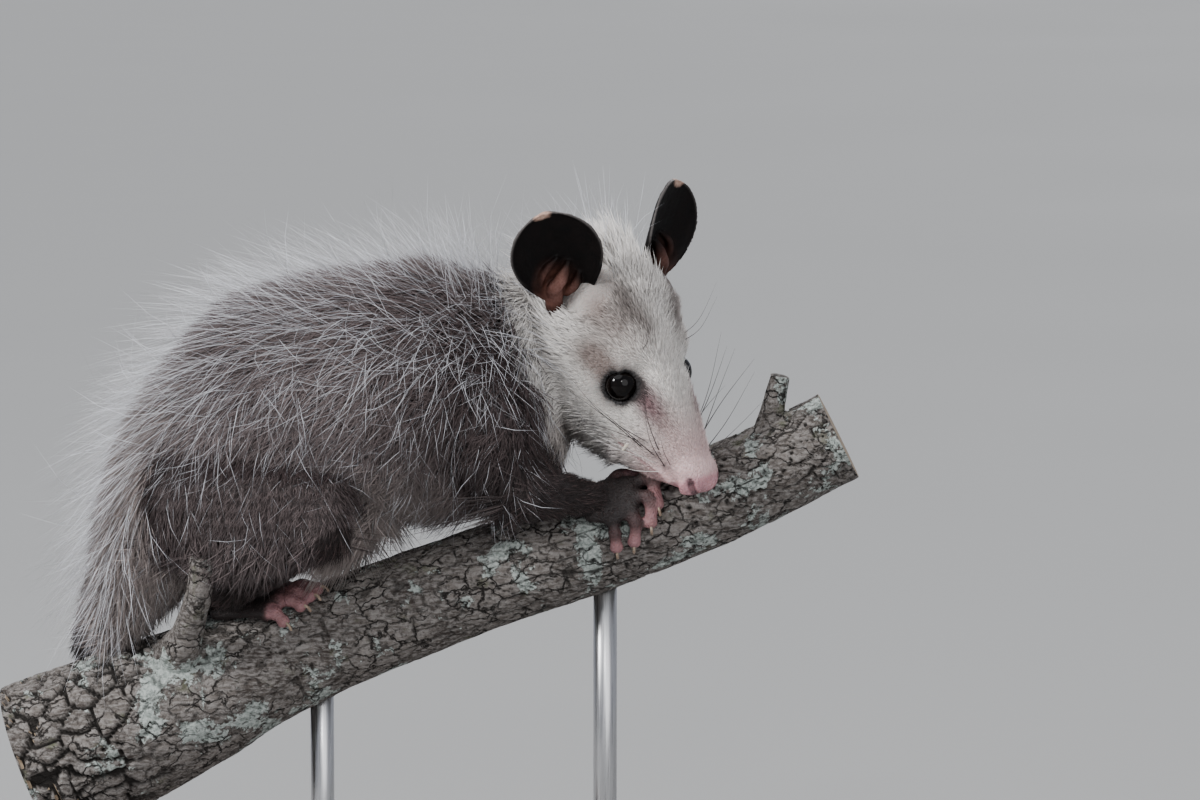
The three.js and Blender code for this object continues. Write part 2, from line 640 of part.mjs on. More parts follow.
// The tail hangs beside the branch and curls up below it
const tailPoints = [
  V(-80, 2, 2),
  V(-87, 12, -7),
  V(-91, 23, -20),
  V(-92, 29, -38),
  V(-90, 31, -58),
  V(-83, 28, -77),
  V(-69, 20, -90),
  V(-52, 10, -91),
  V(-41, 4, -79),
  V(-44, 1, -65),
  V(-56, 3, -59),
  V(-64, 6, -65),
];
const tailPath = new THREE.CatmullRomCurve3(tailPoints);
const tailLengths = [
  { name: "tail_root", from: 0, to: 0.17 },
  { name: "tail_upper", from: 0.17, to: 0.38 },
  { name: "tail_middle", from: 0.38, to: 0.6 },
  { name: "tail_lower", from: 0.6, to: 0.8 },
  { name: "tail_tip", from: 0.8, to: 1 },
];
const tailRadiusAt = (t) => lerp(tailRadius.root, tailRadius.tip, t ** 0.8) + 3.2 * (1 - smoothstep(t, 0, 0.2));

function makeTailLength({ from, to }, grow = 0) {
  const inset = gap / 2 / tailPath.getLength();
  const begin = from > 0 ? from + inset : from;
  const end = to < 1 ? to - inset : to;
  const count = 6;
  const stations = [];
  for (let i = 0; i <= count; i++) {
    const t = lerp(begin, end, i / count);
    stations.push({ at: tailPath.getPointAt(t), wide: tailRadiusAt(t) });
  }
  return loft(stations, { sides: 8, steps: 7, grow, up: V(0, 1, 0.3), domes: [0, to < 1 ? 0 : 0.9] });
}

// Materials, from the photograph's colours
const finish = (color, roughness) => new THREE.MeshStandardMaterial({ color, roughness, metalness: 0 });
const materials = {
  coat: finish(0x7c716c, 0.9),
  paleFur: finish(0xcfc8be, 0.85),
  darkFur: finish(0x4c423f, 0.9),
  earSkin: finish(0x1d191b, 0.6),
  handSkin: finish(0xb98e88, 0.6),
  tailDark: finish(0x2b2627, 0.6),
  tailPale: finish(0xcdb3a6, 0.6),
  eye: finish(0x08080a, 0.08),
  tooth: finish(0xe9e4d6, 0.3),
  bark: finish(0x6f655c, 0.95),
  baseWood: finish(0x3a2a20, 0.5),
  rodSteel: new THREE.MeshStandardMaterial({ color: 0x8c8d90, roughness: 0.35, metalness: 1 }),
};

// Each node's form is cut clear of the ones listed before it. Its locks, if it has any, are added once every form stands,
// bent clear of all the others. The locks that lie over the node behind are cut clear of it instead.
const nodes = [];
const nodeNamed = (name) => nodes.find((node) => node.name === name);

function addNode(name, make, material) {
  let form = make(0);
  for (const other of nodes) form = form.subtract(other.room);
  nodes.push({ name, form, room: make(gap), material });
}

function dress(name, combed, overlaid = []) {
  const node = nodeNamed(name);
  const others = nodes.filter((other) => other !== node && !overlaid.includes(other.name)).map((other) => other.room);
  const placed = placeLocks(combed, node.form, others);
  let locks = join(...placed.map(({ solid }) => solid));
  for (const other of nodes) {
    const crosses = locks.intersect(other.form).volume() > 1e-6;
    if (other !== node && (crosses || overlaid.includes(other.name))) locks = locks.subtract(other.room);
  }
  node.form = join(node.form, locks);
  node.room = join(node.room, ...placed.map(({ room }) => room));
}

const intoBody = (solid) => solid.transform(headToBody.elements);

function makeHead(grow) {
  const form = join(makeHeadForm(grow), makeNosePad(grow), makeLips(grow));
  if (grow > 0) return intoBody(form);
  const carved = join(makeNostril(-1), makeNostril(1), makeMouth());
  return intoBody(join(form, makeLid(-1), makeLid(1)).subtract(carved));
}

addNode("perch_branch", makeBranch, materials.bark);
addNode("eye_right", (grow) => intoBody(makeEye(-1, grow)), materials.eye);
addNode("eye_left", (grow) => intoBody(makeEye(1, grow)), materials.eye);
addNode("canine_right", (grow) => intoBody(makeCanine(grow)), materials.tooth);
addNode("head", makeHead, materials.paleFur);
addNode("torso", makeTorsoCore, materials.coat);
addNode("neck", makeNeckCore, materials.coat);

for (const [side, word] of [[-1, "right"], [1, "left"]]) {
  const placed = earMatrix(side);
  const makeWholeEar = () => join(solidOf(makeEar(), placed), makeEarFolds(side).transform(placed.elements));
  addNode("ear_" + word, () => intoBody(makeWholeEar()), materials.earSkin);
}

const limbWords = { fore: ["upper_arm", "forearm", "hand"], hind: ["thigh", "shank", "foot"] };
for (const [name, limb] of Object.entries(limbs)) {
  const [kind, side] = name.split("_");
  const [upperWord, lowerWord, pawWord] = limbWords[kind];
  addNode(upperWord + "_" + side, (grow) => makeUpperLimb(limb, grow), materials.coat);
  addNode(lowerWord + "_" + side, (grow) => makeLowerLimb(limb, grow), materials.darkFur);
  addNode(pawWord + "_" + side, () => makePaw(limb.paw, limb.side), materials.handSkin);
}

for (const length of tailLengths) {
  const material = length.to < 0.2 ? materials.coat : length.to < 0.5 ? materials.tailDark : materials.tailPale;
  addNode(length.name, (grow) => makeTailLength(length, grow), material);
}

// The stand
function makeRod(x) {
  const bottom = base.thick + gap - perchHeight;
  const top = branchAt(x).centre.z;
  const cylinder = new THREE.CylinderGeometry(rod.radius, rod.radius, top - bottom, rod.sides);
  cylinder.rotateX(Math.PI / 2);
  cylinder.translate(x, 0, (top + bottom) / 2);
  return solidOf(cylinder);
}
addNode("stand_rod_rear", () => makeRod(rod.rearX), materials.rodSteel);
addNode("stand_rod_front", () => makeRod(rod.frontX), materials.rodSteel);

function makeBase() {
  const half = { x: base.length / 2 - base.bevel, y: base.width / 2 - base.bevel };
  const plan = new THREE.Shape();
  plan.moveTo(-half.x + base.corner, -half.y);
  plan.absarc(half.x - base.corner, -half.y + base.corner, base.corner, -Math.PI / 2, 0);
  plan.absarc(half.x - base.corner, half.y - base.corner, base.corner, 0, Math.PI / 2);
  plan.absarc(-half.x + base.corner, half.y - base.corner, base.corner, Math.PI / 2, Math.PI);
  plan.absarc(-half.x + base.corner, -half.y + base.corner, base.corner, Math.PI, 1.5 * Math.PI);
  const board = new THREE.ExtrudeGeometry(plan, {
    depth: base.thick - 2 * base.bevel,
    bevelThickness: base.bevel,
    bevelSize: base.bevel,
    bevelSegments: 1,
    curveSegments: 3,
  });
  board.translate(0, 0, base.bevel - perchHeight);
  return solidOf(board);
}
addNode("stand_base", makeBase, materials.baseWood);

// The long coat
const torsoLocks = combLocks(trunkStations, {
  from: 0.02,
  to: 0.74,
  spacing: 22,
  width: 21,
  zone: (t, a) => (Math.sin(a) > -0.85 ? { length: 42, reach: reachAt(a) * (1 + 0.2 * (1 - t)), drift: 16 } : null),
});
const neckLocks = combLocks(trunkStations, {
  from: 0.84,
  to: 0.92,
  spacing: 13,
  width: 20,
  zone: (t, a) => (Math.sin(a) > -0.8 ? { length: 34, reach: reachAt(a) * (Math.sin(a) > 0.4 ? 1.35 : 0.85), drift: 8 } : null),
});
const crownLocks = combLocks(headStations, {
  from: 0.08,
  to: 0.18,
  spacing: 9,
  width: 13,
  thick: 1.6,
  zone: (t, a) => (Math.sin(a) > 0.35 ? { length: 20, reach: 9, drift: 4 } : null),
});
dress("neck", neckLocks, ["torso"]);
dress("head", intoHead(crownLocks));
dress("torso", torsoLocks);
for (const side of ["right", "left"]) {
  const thighLocks = combLocks(limbs["hind_" + side].upper, {
    from: 0.35,
    to: 0.85,
    spacing: 18,
    width: 15,
    up: V(1, 0, 0.3),
    zone: () => ({ length: 24, reach: 5, drift: 0 }),
  });
  dress("thigh_" + side, thighLocks);
  const armLocks = combLocks(limbs["fore_" + side].upper, {
    from: 0.4,
    to: 0.4,
    spacing: 11,
    width: 13,
    up: V(1, 0, 0.3),
    thick: 1.6,
    zone: () => ({ length: -17, reach: 4, drift: 0 }),
  });
  dress("upper_arm_" + side, armLocks);
}

const opossum = new THREE.Group();
for (const { name, form, material } of nodes) {
  const mesh = new THREE.Mesh(geometryOf(largest(form.translate([0, 0, perchHeight]))), material);
  mesh.name = name;
  opossum.add(mesh);
}
export default opossum;
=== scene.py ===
# A young Virginia opossum stepping up a lichened branch, as a still museum model on a plain stand. Its looks
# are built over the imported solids, which give every place and size. Shapes are worked out in millimetres in
# the animal's own frame, whose origin is on the branch's axis, and go into Blender in metres.

import math

import bpy
import numpy as np
import openvdb
from mathutils import Matrix
from mathutils import Vector


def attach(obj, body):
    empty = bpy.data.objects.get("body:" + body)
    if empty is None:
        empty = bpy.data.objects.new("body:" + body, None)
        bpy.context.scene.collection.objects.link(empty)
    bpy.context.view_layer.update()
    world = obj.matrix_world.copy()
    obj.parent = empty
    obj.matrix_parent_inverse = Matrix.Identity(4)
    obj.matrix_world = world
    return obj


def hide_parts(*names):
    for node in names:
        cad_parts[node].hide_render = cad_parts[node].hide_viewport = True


bl_info = {
    "name": "Opossum on a branch",
    "version": (1, 0, 0),
    "blender": (4, 5, 0),
    "location": "View3D > Sidebar > Opossum",
    "description": "Builds the skin, coat, head, perch, stand and studio of a life-size opossum model",
    "category": "Object",
}

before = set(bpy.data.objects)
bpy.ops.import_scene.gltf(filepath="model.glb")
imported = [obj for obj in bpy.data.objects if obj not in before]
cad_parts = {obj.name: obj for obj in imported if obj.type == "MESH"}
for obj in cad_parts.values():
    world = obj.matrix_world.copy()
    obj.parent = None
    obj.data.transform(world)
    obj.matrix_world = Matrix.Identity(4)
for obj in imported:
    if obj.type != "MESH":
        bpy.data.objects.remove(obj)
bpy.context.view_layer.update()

# Height of the animal's own origin above the floor
perch_height = 118.0
sides = (-1, 1)
side_words = {-1: "right", 1: "left"}

# What the operators pass to each other
made = {}


# Curves and small vector helpers

def unit(v):
    length = np.linalg.norm(v, axis=-1, keepdims=True)
    return v / np.maximum(length, 1e-9)


def blend(a, b, share):
    return a + (b - a) * share


def mix(a, b, share):
    """Blends rows by a share for each row."""
    return blend(a, b, np.asarray(share)[:, None])


def ramp(x, low, high):
    """Runs smoothly from 0 at low to 1 at high."""
    s = np.clip((np.asarray(x, float) - low) / (high - low), 0, 1)
    return s * s * (3 - 2 * s)


def bump_at(points, centre, reach):
    """A soft round bump, 1 at the centre and 0 from reach outwards."""
    away = np.linalg.norm((points - np.asarray(centre)) / np.asarray(reach), axis=-1)
    return np.clip(1 - away * away, 0, 1) ** 2


def linear(red, green, blue):
    """A colour given as it looks on a screen, 0 to 255, as light."""
    c = np.array([red, green, blue]) / 255
    return np.where(c < 0.04045, c / 12.92, ((c + 0.055) / 1.055) ** 2.4)


def columns(*values):
    return np.stack(values, 1)


def curve_through(points):
    """A smooth curve through points, as a function of an array of places from 0 to 1."""
    p = np.asarray(points, float)
    last = len(p) - 1
    padded = np.vstack([2 * p[0] - p[1], p, 2 * p[-1] - p[-2]])

    def at(t):
        place = np.clip(np.asarray(t, float), 0, 1) * last
        i = np.minimum(place.astype(int), last - 1)
        w = (place - i)[..., None]
        p0, p1, p2, p3 = (padded[i + k] for k in range(4))
        gaps = [np.linalg.norm(b - a, axis=-1, keepdims=True) for a, b in ((p0, p1), (p1, p2), (p2, p3))]
        d0, d1, d2 = (np.maximum(gap, 1e-4) ** 0.5 for gap in gaps)
        m1 = ((p1 - p0) / d0 - (p2 - p0) / (d0 + d1) + (p2 - p1) / d1) * d1
        m2 = ((p2 - p1) / d1 - (p3 - p1) / (d1 + d2) + (p3 - p2) / d2) * d1
        cubic = 2 * p1 - 2 * p2 + m1 + m2
        square = -3 * p1 + 3 * p2 - 2 * m1 - m2
        return ((cubic * w + square) * w + m1) * w + p1

    return at


def smooth_noise(points, size, seed):
    """Smooth random values from -1 to 1, in lumps about size across."""
    cells = 32
    table = np.random.default_rng(seed).random((cells, cells, cells)) * 2 - 1
    p = np.asarray(points, float) / size
    cell = np.floor(p).astype(int)
    w = p - cell
    w = w * w * (3 - 2 * w)
    total = np.zeros(len(p))
    for corner in np.ndindex(2, 2, 2):
        share = np.abs(1 - np.array(corner) - w).prod(1)
        total += share * table[tuple((cell + corner).T % cells)]
    return total


def grid_of(rows, count):
    """Row and column of each cell of a grid, as two flat arrays."""
    return [index.ravel() for index in np.meshgrid(np.arange(rows), np.arange(count), indexing="ij")]


def split_quads(quads):
    return np.vstack([quads[:, [0, 1, 2]], quads[:, [0, 2, 3]]])


def tube_faces(rows, count):
    """Triangles over rows of count points each, closed round, with one more point for each end after them."""
    i, j = grid_of(rows - 1, count)
    a = i * count + j
    b = i * count + (j + 1) % count
    j = np.arange(count)
    k = (j + 1) % count
    first = rows * count
    return np.vstack([
        columns(a, a + count, b),
        columns(b, a + count, b + count),
        columns(np.full(count, first), j, k),
        columns(np.full(count, first + 1), first - count + k, first - count + j),
    ])


# Round forms: a tube of oval rings along a curve, with a dome on each end

class Form:
    """A tube of oval rings. A station is its centre, half width, and height above and below it."""

    def __init__(self, stations, up=(0, 0, 1), domes=(0.6, 0.6), full=1.0, inset=0.0, matrix=None):
        rows = np.asarray(stations, float)
        self.path = curve_through(rows[:, :3])
        self.sizes = curve_through(rows[:, 3:6])
        self.up = np.asarray(up, float)
        self.domes = domes
        self.full = full
        self.inset = inset
        self.matrix = np.eye(4) if matrix is None else matrix

    def rings(self, t):
        """At each place: the centre, the directions along, sidewards and up, and the sizes."""
        t = np.asarray(t, float)
        along = unit(self.path(t + 1e-3) - self.path(t - 1e-3))
        side = unit(np.cross(along, self.up))
        inset = self.inset(t) if callable(self.inset) else self.inset
        sizes = np.maximum(self.sizes(t) - np.asarray(inset).reshape(-1, 1), 0.4)
        return self.path(t), along, side, np.cross(side, along), sizes

    def mesh(self, steps=60, count=48, bend=None):
        """Points and triangles of the closed form, in the animal's frame."""
        dome_rings = 7
        t = np.linspace(0, 1, steps + 1)
        centre, along, side, top, sizes = self.rings(t)
        rows = [(t[i], centre[i], i, 1.0) for i in range(steps + 1)]
        for end, sign, bulge in ((0, -1, self.domes[0]), (steps, 1, self.domes[1])):
            reach = bulge * sizes[end].min()
            for k in range(1, dome_rings + 1):
                a = k / dome_rings * math.pi / 2
                shift = sign * reach * math.sin(a)
                cap = centre[end] + along[end] * shift
                rows.append((t[end] + sign * k * 1e-4, cap, end, max(math.cos(a), 0.02)))
        rows.sort(key=lambda row: row[0])
        angle = np.arange(count) / count * 2 * math.pi
        c, s = (np.sign(wave) * np.abs(wave) ** self.full for wave in (np.cos(angle), np.sin(angle)))
        points = []
        for _, middle, i, scale in rows:
            height = np.where(s > 0, sizes[i, 1], sizes[i, 2])
            across = side[i] * (sizes[i, 0] * c * scale)[:, None]
            points.append(middle + across + top[i] * (height * s * scale)[:, None])
        points = np.array(points)
        if bend:
            points = bend(points, np.array([row[1] for row in rows])[:, None, :])
        flat = np.vstack([points.reshape(-1, 3), points[0].mean(0), points[-1].mean(0)])
        return placed(flat, self.matrix), tube_faces(len(rows), count)

    def locate(self, points, samples=64):
        """For each point: its place t along the form, its angle round it and its distance off the surface."""
        t = np.linspace(0, 1, samples)
        centre, *directions, sizes = self.rings(t)
        centre = placed(centre, self.matrix)
        along, side, top = (direction @ self.matrix[:3, :3].T for direction in directions)
        nearest = np.zeros(len(points), int)
        best = np.full(len(points), np.inf)
        for k in range(samples):
            away = ((points - centre[k]) ** 2).sum(1)
            closer = away < best
            nearest[closer] = k
            best[closer] = away[closer]
        v = points - centre[nearest]
        ahead = (v * along[nearest]).sum(1)
        x = (v * side[nearest]).sum(1) / sizes[nearest, 0]
        z = (v * top[nearest]).sum(1)
        z = z / np.where(z > 0, sizes[nearest, 1], sizes[nearest, 2])
        ratio = np.maximum(np.hypot(x, z), 1e-3)
        across = np.linalg.norm(v - along[nearest] * ahead[:, None], axis=1)
        off = across * (1 - 1 / ratio)
        beyond = ((nearest == 0) | (nearest == samples - 1)) & (np.abs(ahead) > 1)
        off = np.where(beyond, np.hypot(np.maximum(off, 0), ahead), off)
        return t[nearest], np.arctan2(z, x), off, along[nearest]


def placed(points, matrix):
    return points @ matrix[:3, :3].T + matrix[:3, 3]


def tube(points, radii, **options):
    """A round tube through points with a radius at each."""
    return Form([(*p, r, r, r) for p, r in zip(points, radii)], **options)


# The body's forms, with the sizes of the solids. Insets are the depth of the underfur that grows over them.
trunk_stations = [
    (-83, 0, -7, 9, 7.5, 8),
    (-77, 0, 8, 16, 13, 14),
    (-67, 0, 27, 24, 20, 24),
    (-52, 0, 43, 30, 28, 32),
    (-32, 0, 53, 32, 35, 36),
    (-12, 0, 57, 32, 35, 36),
    (6, 0, 58, 30, 35, 35),
    (20, 2.5, 60, 24, 32, 33),
    (32, 7, 64, 18, 28, 26),
    (43, 11.5, 68, 14, 22, 19),
]
head_stations = [
    (-71, 0, 1, 12, 12, 14),
    (-64, 0, 2, 17, 18, 19),
    (-53, 0, 2, 19.5, 20, 23),
    (-42.5, 0, 2, 16.2, 16.6, 27.2),
    (-33.5, 0, 1.4, 12.7, 12.2, 27.2),
    (-25, 0, 0.9, 10.4, 9.4, 23.9),
    (-16, 0, 0.3, 8.4, 7.2, 18.2),
    (-8, 0, 0, 6.7, 5.4, 11.1),
    (-2.7, 0, 0, 5, 4, 5.6),
]

# Cheeks, brows and temples on the left: each one's place, its reach, and how far it lifts the head's surface
head_forms = [
    ((-44, 15, 10), 14, -1.6),
    ((-37, 10.5, 11.5), 5.5, 0.7),
    ((-27, 8, 4.5), 7, -1.0),
    ((-31.5, 9.0, 8.6), 6.5, -2.1),
    ((-38, 15, -12), 18, 3.2),
    ((-20, 8, -9), 12, 2.2),
]
eye_radius = 4.7
eye_centre = np.array([-33.5, 9.4, 2.4])
eye_facing = unit(np.array([0.25, 1, 0.42]))


def turn_about(axis, degrees):
    return np.array(Matrix.Rotation(math.radians(degrees), 4, axis))


head_matrix = turn_about("Z", -42) @ turn_about("Y", 50) @ turn_about("X", 8)
head_matrix[:3, 3] = (76.4, -23, 35.4)


def to_head(points):
    return (points - head_matrix[:3, 3]) @ head_matrix[:3, :3]


def from_head(points):
    return placed(points, head_matrix)


def mirrored(point, side):
    return np.array([point[0], side * point[1], point[2]])


def model_head(points, centres):
    """Cheeks, brows and temples, raised from the head or pressed into it."""
    outward = unit(points - centres)
    shaped = points.copy()
    for at, reach, lift in head_forms:
        for side in sides:
            away = np.linalg.norm(points - mirrored(at, side), axis=-1, keepdims=True) / reach
            shaped += outward * lift * np.clip(1 - away * away, 0, 1) ** 2
    return shaped


# The branch the animal stands on
branch_stations = [
    (-106, -45, 22.5),
    (-86, -37, 22),
    (-66, -28, 20),
    (-46, -18.5, 17),
    (-24, -9.5, 15.2),
    (0, 0, 14.6),
    (24, 9, 14),
    (50, 17.5, 13.5),
    (76, 27.5, 13.2),
    (100, 39, 12.8),
    (113, 45.5, 12.6),
]
branch_form = Form([(x, 0, z, r, r, r) for x, z, r in branch_stations], domes=(0, 0))


def branch_at(x):
    """The branch's centre and radius above the place x."""
    t = np.linspace(0, 1, 2001)
    centres = branch_form.path(t)
    t_at = np.interp(x, centres[:, 0], t)
    return branch_form.path(t_at), branch_form.sizes(t_at)[0]


def on_branch(x, angle, lift):
    """A point over the bark, at an angle from its top round towards the animal's right."""
    centre, radius = branch_at(x)
    a = math.radians(angle)
    return np.array([x, -(radius + lift) * math.sin(a), centre[2] + (radius + lift) * math.cos(a)])


def off_branch(point):
    """The direction away from the branch's axis."""
    centre, _ = branch_at(point[0])
    return unit(np.array([0, point[1], point[2] - centre[2]]))


# Each limb's joints and its paw: the sole and then each digit, as places on the branch
limbs = {
    "fore_right": {
        "side": -1,
        "upper": [(19, -14, 55, 13, 15, 15), (22, -20, 44, 12, 12, 12), (27, -24, 34, 9.5, 9.5, 9.5)],
        "lower": [(27, -24, 34, 9, 9, 9), (37, -19.5, 32.5, 7.4, 7.4, 7.4), (47, -14.5, 30.8, 5, 5, 4.8)],
        "sole": [(45, 46, 3.6), (51, 46, 3.2), (57, 49, 3)],
        "width": [5, 7, 6.8],
        "digits": [
            [(49, 28, 2.8), (53.5, 14, 3.4), (58, 12, 2.2)],
            [(56, 34, 2.8), (62.3, 41, 3.8), (64, 66, 2.2)],
            [(56.5, 47, 2.8), (61.5, 58, 3.6), (62.2, 82, 2.2)],
            [(55.5, 60, 2.8), (58, 76, 3.2), (57.8, 95, 2.2)],
            [(52, 66, 2.8), (52.6, 80, 3), (53, 94, 2.2)],
        ],
    },
    "fore_left": {
        "side": 1,
        "upper": [(12, 14, 52, 13, 15, 15), (12, 20, 40, 11, 12, 12), (12, 24, 28, 8, 8, 8)],
        "lower": [(12, 24, 28, 7.5, 7.5, 7.5), (24, 20, 24, 6.5, 6.5, 6.5), (34, 15.5, 22, 4.8, 4.8, 4.6)],
        "sole": [(33, 52, 3.2), (38, 50, 2.6), (43, 52, 2.6)],
        "width": [4.6, 6, 5.8],
        "digits": [
            [(37, 34, 2.6), (41, 22, 3.4), (45, 20, 2.2)],
            [(42, 42, 2.8), (48.5, 48, 3.6), (50.5, 72, 2.2)],
            [(42.5, 54, 2.8), (48, 68, 3.4), (49.4, 95, 2.2)],
            [(41.5, 66, 2.8), (44, 86, 3.2), (44.6, 112, 2.2)],
            [(38.5, 72, 2.8), (39.2, 92, 3), (39.6, 114, 2.2)],
        ],
    },
    "hind_right": {
        "side": -1,
        "upper": [(-60, -13, 36, 17, 19, 19), (-42, -23, 32, 14, 18, 18), (-25, -28, 29, 10, 14, 13)],
        "lower": [(-25, -28, 27, 9, 10, 10), (-38, -21, 16, 8, 8, 8), (-52, -11, 4, 5.5, 5.5, 5.5)],
        "sole": [(-55, 14, 3.6), (-46, 22, 3), (-40, 30, 2.8)],
        "width": [4, 5.2, 6],
        "digits": [
            [(-49, 4, 2.6), (-44, -16, 3), (-42, -32, 2.2)],
            [(-38, 18, 2.8), (-32, 18, 3.4), (-27.5, 26, 2.2)],
            [(-38, 24, 2.8), (-33, 26, 3.4), (-29.5, 33, 2.2)],
            [(-39, 30, 2.8), (-35, 34, 3.4), (-32, 41, 2.2)],
            [(-41, 37, 2.8), (-38.5, 43, 3.2), (-36.5, 51, 2.2)],
        ],
    },
    "hind_left": {
        "side": 1,
        "upper": [(-60, 13, 36, 17, 19, 19), (-44, 23, 31, 14, 18, 18), (-27, 28, 28, 10, 14, 13)],
        "lower": [(-27, 29, 27, 8.5, 9, 9), (-42, 22, 14, 7.5, 8, 8), (-57, 14, 0, 5.5, 5.5, 5.5)],
        "sole": [(-60, 26, 3.6), (-51, 32, 3), (-45, 38, 2.8)],
        "width": [4, 5.2, 6],
        "digits": [
            [(-54, 14, 2.6), (-49, -2, 3), (-46, -14, 2.2)],
            [(-43, 28, 2.8), (-37, 30, 3.4), (-33, 38, 2.2)],
            [(-43, 35, 2.8), (-38, 38, 3.4), (-34.5, 46, 2.2)],
            [(-44, 42, 2.8), (-40, 46, 3.4), (-37, 54, 2.2)],
            [(-46, 48, 2.8), (-43.5, 54, 3.2), (-41.5, 62, 2.2)],
        ],
    },
}
tail_points = [
    (-80, 2, 2),
    (-87, 12, -7),
    (-91, 23, -20),
    (-92, 29, -38),
    (-90, 31, -58),
    (-83, 28, -77),
    (-69, 20, -90),
    (-52, 10, -91),
    (-41, 4, -79),
    (-44, 1, -65),
    (-56, 3, -59),
    (-64, 6, -65),
]


def tail_radius(t):
    """The tail is thick at its root, where the fur's depth is taken off, and thins to its tip."""
    return blend(5.4, 1.5, t ** 0.8) + 3.2 * (1 - ramp(t, 0, 0.2)) - 0.3 - 1.6 * (1 - ramp(t, 0.04, 0.16))


def tail_stations():
    """The tail as even rings along its length."""
    path = curve_through(tail_points)
    fine = path(np.linspace(0, 1, 601))
    run = np.concatenate([[0], np.cumsum(np.linalg.norm(np.diff(fine, axis=0), axis=1))])
    share = np.linspace(0, 1, 40)
    places = np.stack([np.interp(share * run[-1], run, fine[:, k]) for k in range(3)], 1)
    return [(*p, r, r, r) for p, r in zip(places, tail_radius(share))]


def head_inset(t):
    """The fur is thin on the snout and deeper towards the back of the skull."""
    return blend(4.2, 0.9, ramp(t, 0.0, 0.5) ** 0.7) + 0.3 * ramp(t, 0.55, 0.7) - 0.5 * ramp(t, 0.85, 1.0)


def limb_points(limb, row):
    """Points for a row of places on the branch, each with its angle towards the limb's side and its lift."""
    return [on_branch(x, -limb["side"] * angle, lift) for x, angle, lift in row]


# The forms that carry fur or bare skin, each with its name, shape and how softly it joins the rest
body_forms = {
    "trunk": (Form(trunk_stations, domes=(0.6, 0.5), inset=5.0), 4.0),
    "head": (Form(head_stations, domes=(0.5, 0.7), full=0.9, inset=head_inset, matrix=head_matrix), 9.0),
    "tail": (Form(tail_stations(), up=(0, 1, 0.3), domes=(0, 0.9)), 3.0),
}
for limb_name, limb in limbs.items():
    upper = Form(limb["upper"], up=(1, 0, 0.3), domes=(0.7, 0.8), inset=3.0)
    lower = Form(limb["lower"], up=(0, 0.25, 1), domes=(0.8, 0.6), inset=1.4)
    body_forms[limb_name + "_upper"] = (upper, 4.0)
    body_forms[limb_name + "_lower"] = (lower, 2.5)
    sole_points = limb_points(limb, limb["sole"])
    sole_rows = [(*p, w - 0.3, 2.4, 2.3) for p, w in zip(sole_points, limb["width"])]
    sole_up = off_branch(sole_points[1])
    body_forms[limb_name + "_paw"] = (Form(sole_rows, up=sole_up, domes=(0.7, 0.8)), 1.6)


class Volume:
    """Distances to a growing shape, on a grid of cells. Shapes join it softly or are cut from it."""

    def __init__(self, low, high, cell, band):
        self.cell = cell
        self.band = band
        self.start = np.floor(np.asarray(low) / cell).astype(int)
        count = np.ceil(np.asarray(high) / cell).astype(int) - self.start
        self.values = np.full(count, band, np.float32)

    def put(self, points, triangles, soft, cut=False):
        grid = openvdb.FloatGrid.createLevelSetFromPolygons(
            np.ascontiguousarray(points, np.float32),
            triangles=np.ascontiguousarray(triangles, np.uint32),
            transform=openvdb.createLinearTransform(voxelSize=self.cell),
            halfWidth=self.band / self.cell,
        )
        low, high = (np.array(corner) for corner in grid.evalActiveVoxelBoundingBox())
        low = np.maximum(low, self.start)
        high = np.minimum(high + 1, self.start + self.values.shape)
        shape = np.empty(high - low, np.float32)
        grid.copyToArray(shape, ijk=tuple(int(k) for k in low))
        at = tuple(slice(a, b) for a, b in zip(low - self.start, high - self.start))
        here = self.values[at]
        self.values[at] = -soft_least(-here, shape, soft) if cut else soft_least(here, shape, soft)

    def surface(self, fineness):
        """The shape's surface as points and triangles, with larger faces where it is flat."""
        grid = openvdb.FloatGrid(self.band)
        grid.copyFromArray(self.values, ijk=tuple(int(k) for k in self.start))
        grid.transform = openvdb.createLinearTransform(voxelSize=self.cell)
        points, triangles, quads = grid.convertToPolygons(isovalue=0, adaptivity=fineness)
        triangles = np.vstack([triangles.reshape(-1, 3), split_quads(quads)]).astype(np.int64)
        a, b, c = (points[triangles[:, k]].astype(float) for k in range(3))
        if (np.cross(a, b) * c).sum() < 0:
            triangles = triangles[:, ::-1]
        return points.astype(float), triangles


def soft_least(a, b, soft):
    """The lesser of two distances, rounded where they are nearly the same."""
    near = np.maximum(soft - np.abs(a - b), 0) / soft
    return np.minimum(a, b) - near * near * soft / 4


def head_tube(points, radii, side=1):
    """A tube given in the head's frame for its left side."""
    return tube([from_head(mirrored(p, side)) for p in points], radii, domes=(0.8, 0.8))


def ring_round(centre, facing, radius, thickness, count=40, around=14):
    """Points and triangles of a plain ring."""
    across = unit(np.cross(facing, (0.3, 0.1, 1)))
    over = np.cross(facing, across)
    a = np.arange(count) / count * 2 * math.pi
    b = np.arange(around) / around * 2 * math.pi
    spoke = np.cos(a)[:, None] * across + np.sin(a)[:, None] * over
    points = (
        centre
        + spoke[:, None, :] * (radius + thickness * np.cos(b))[None, :, None]
        + facing * (thickness * np.sin(b))[None, :, None]
    )
    i, j = grid_of(count, around)
    next_i = (i + 1) % count * around
    next_j = (j + 1) % around
    quads = columns(i * around + j, next_i + j, next_i + next_j, i * around + next_j)
    return points.reshape(-1, 3), split_quads(quads)


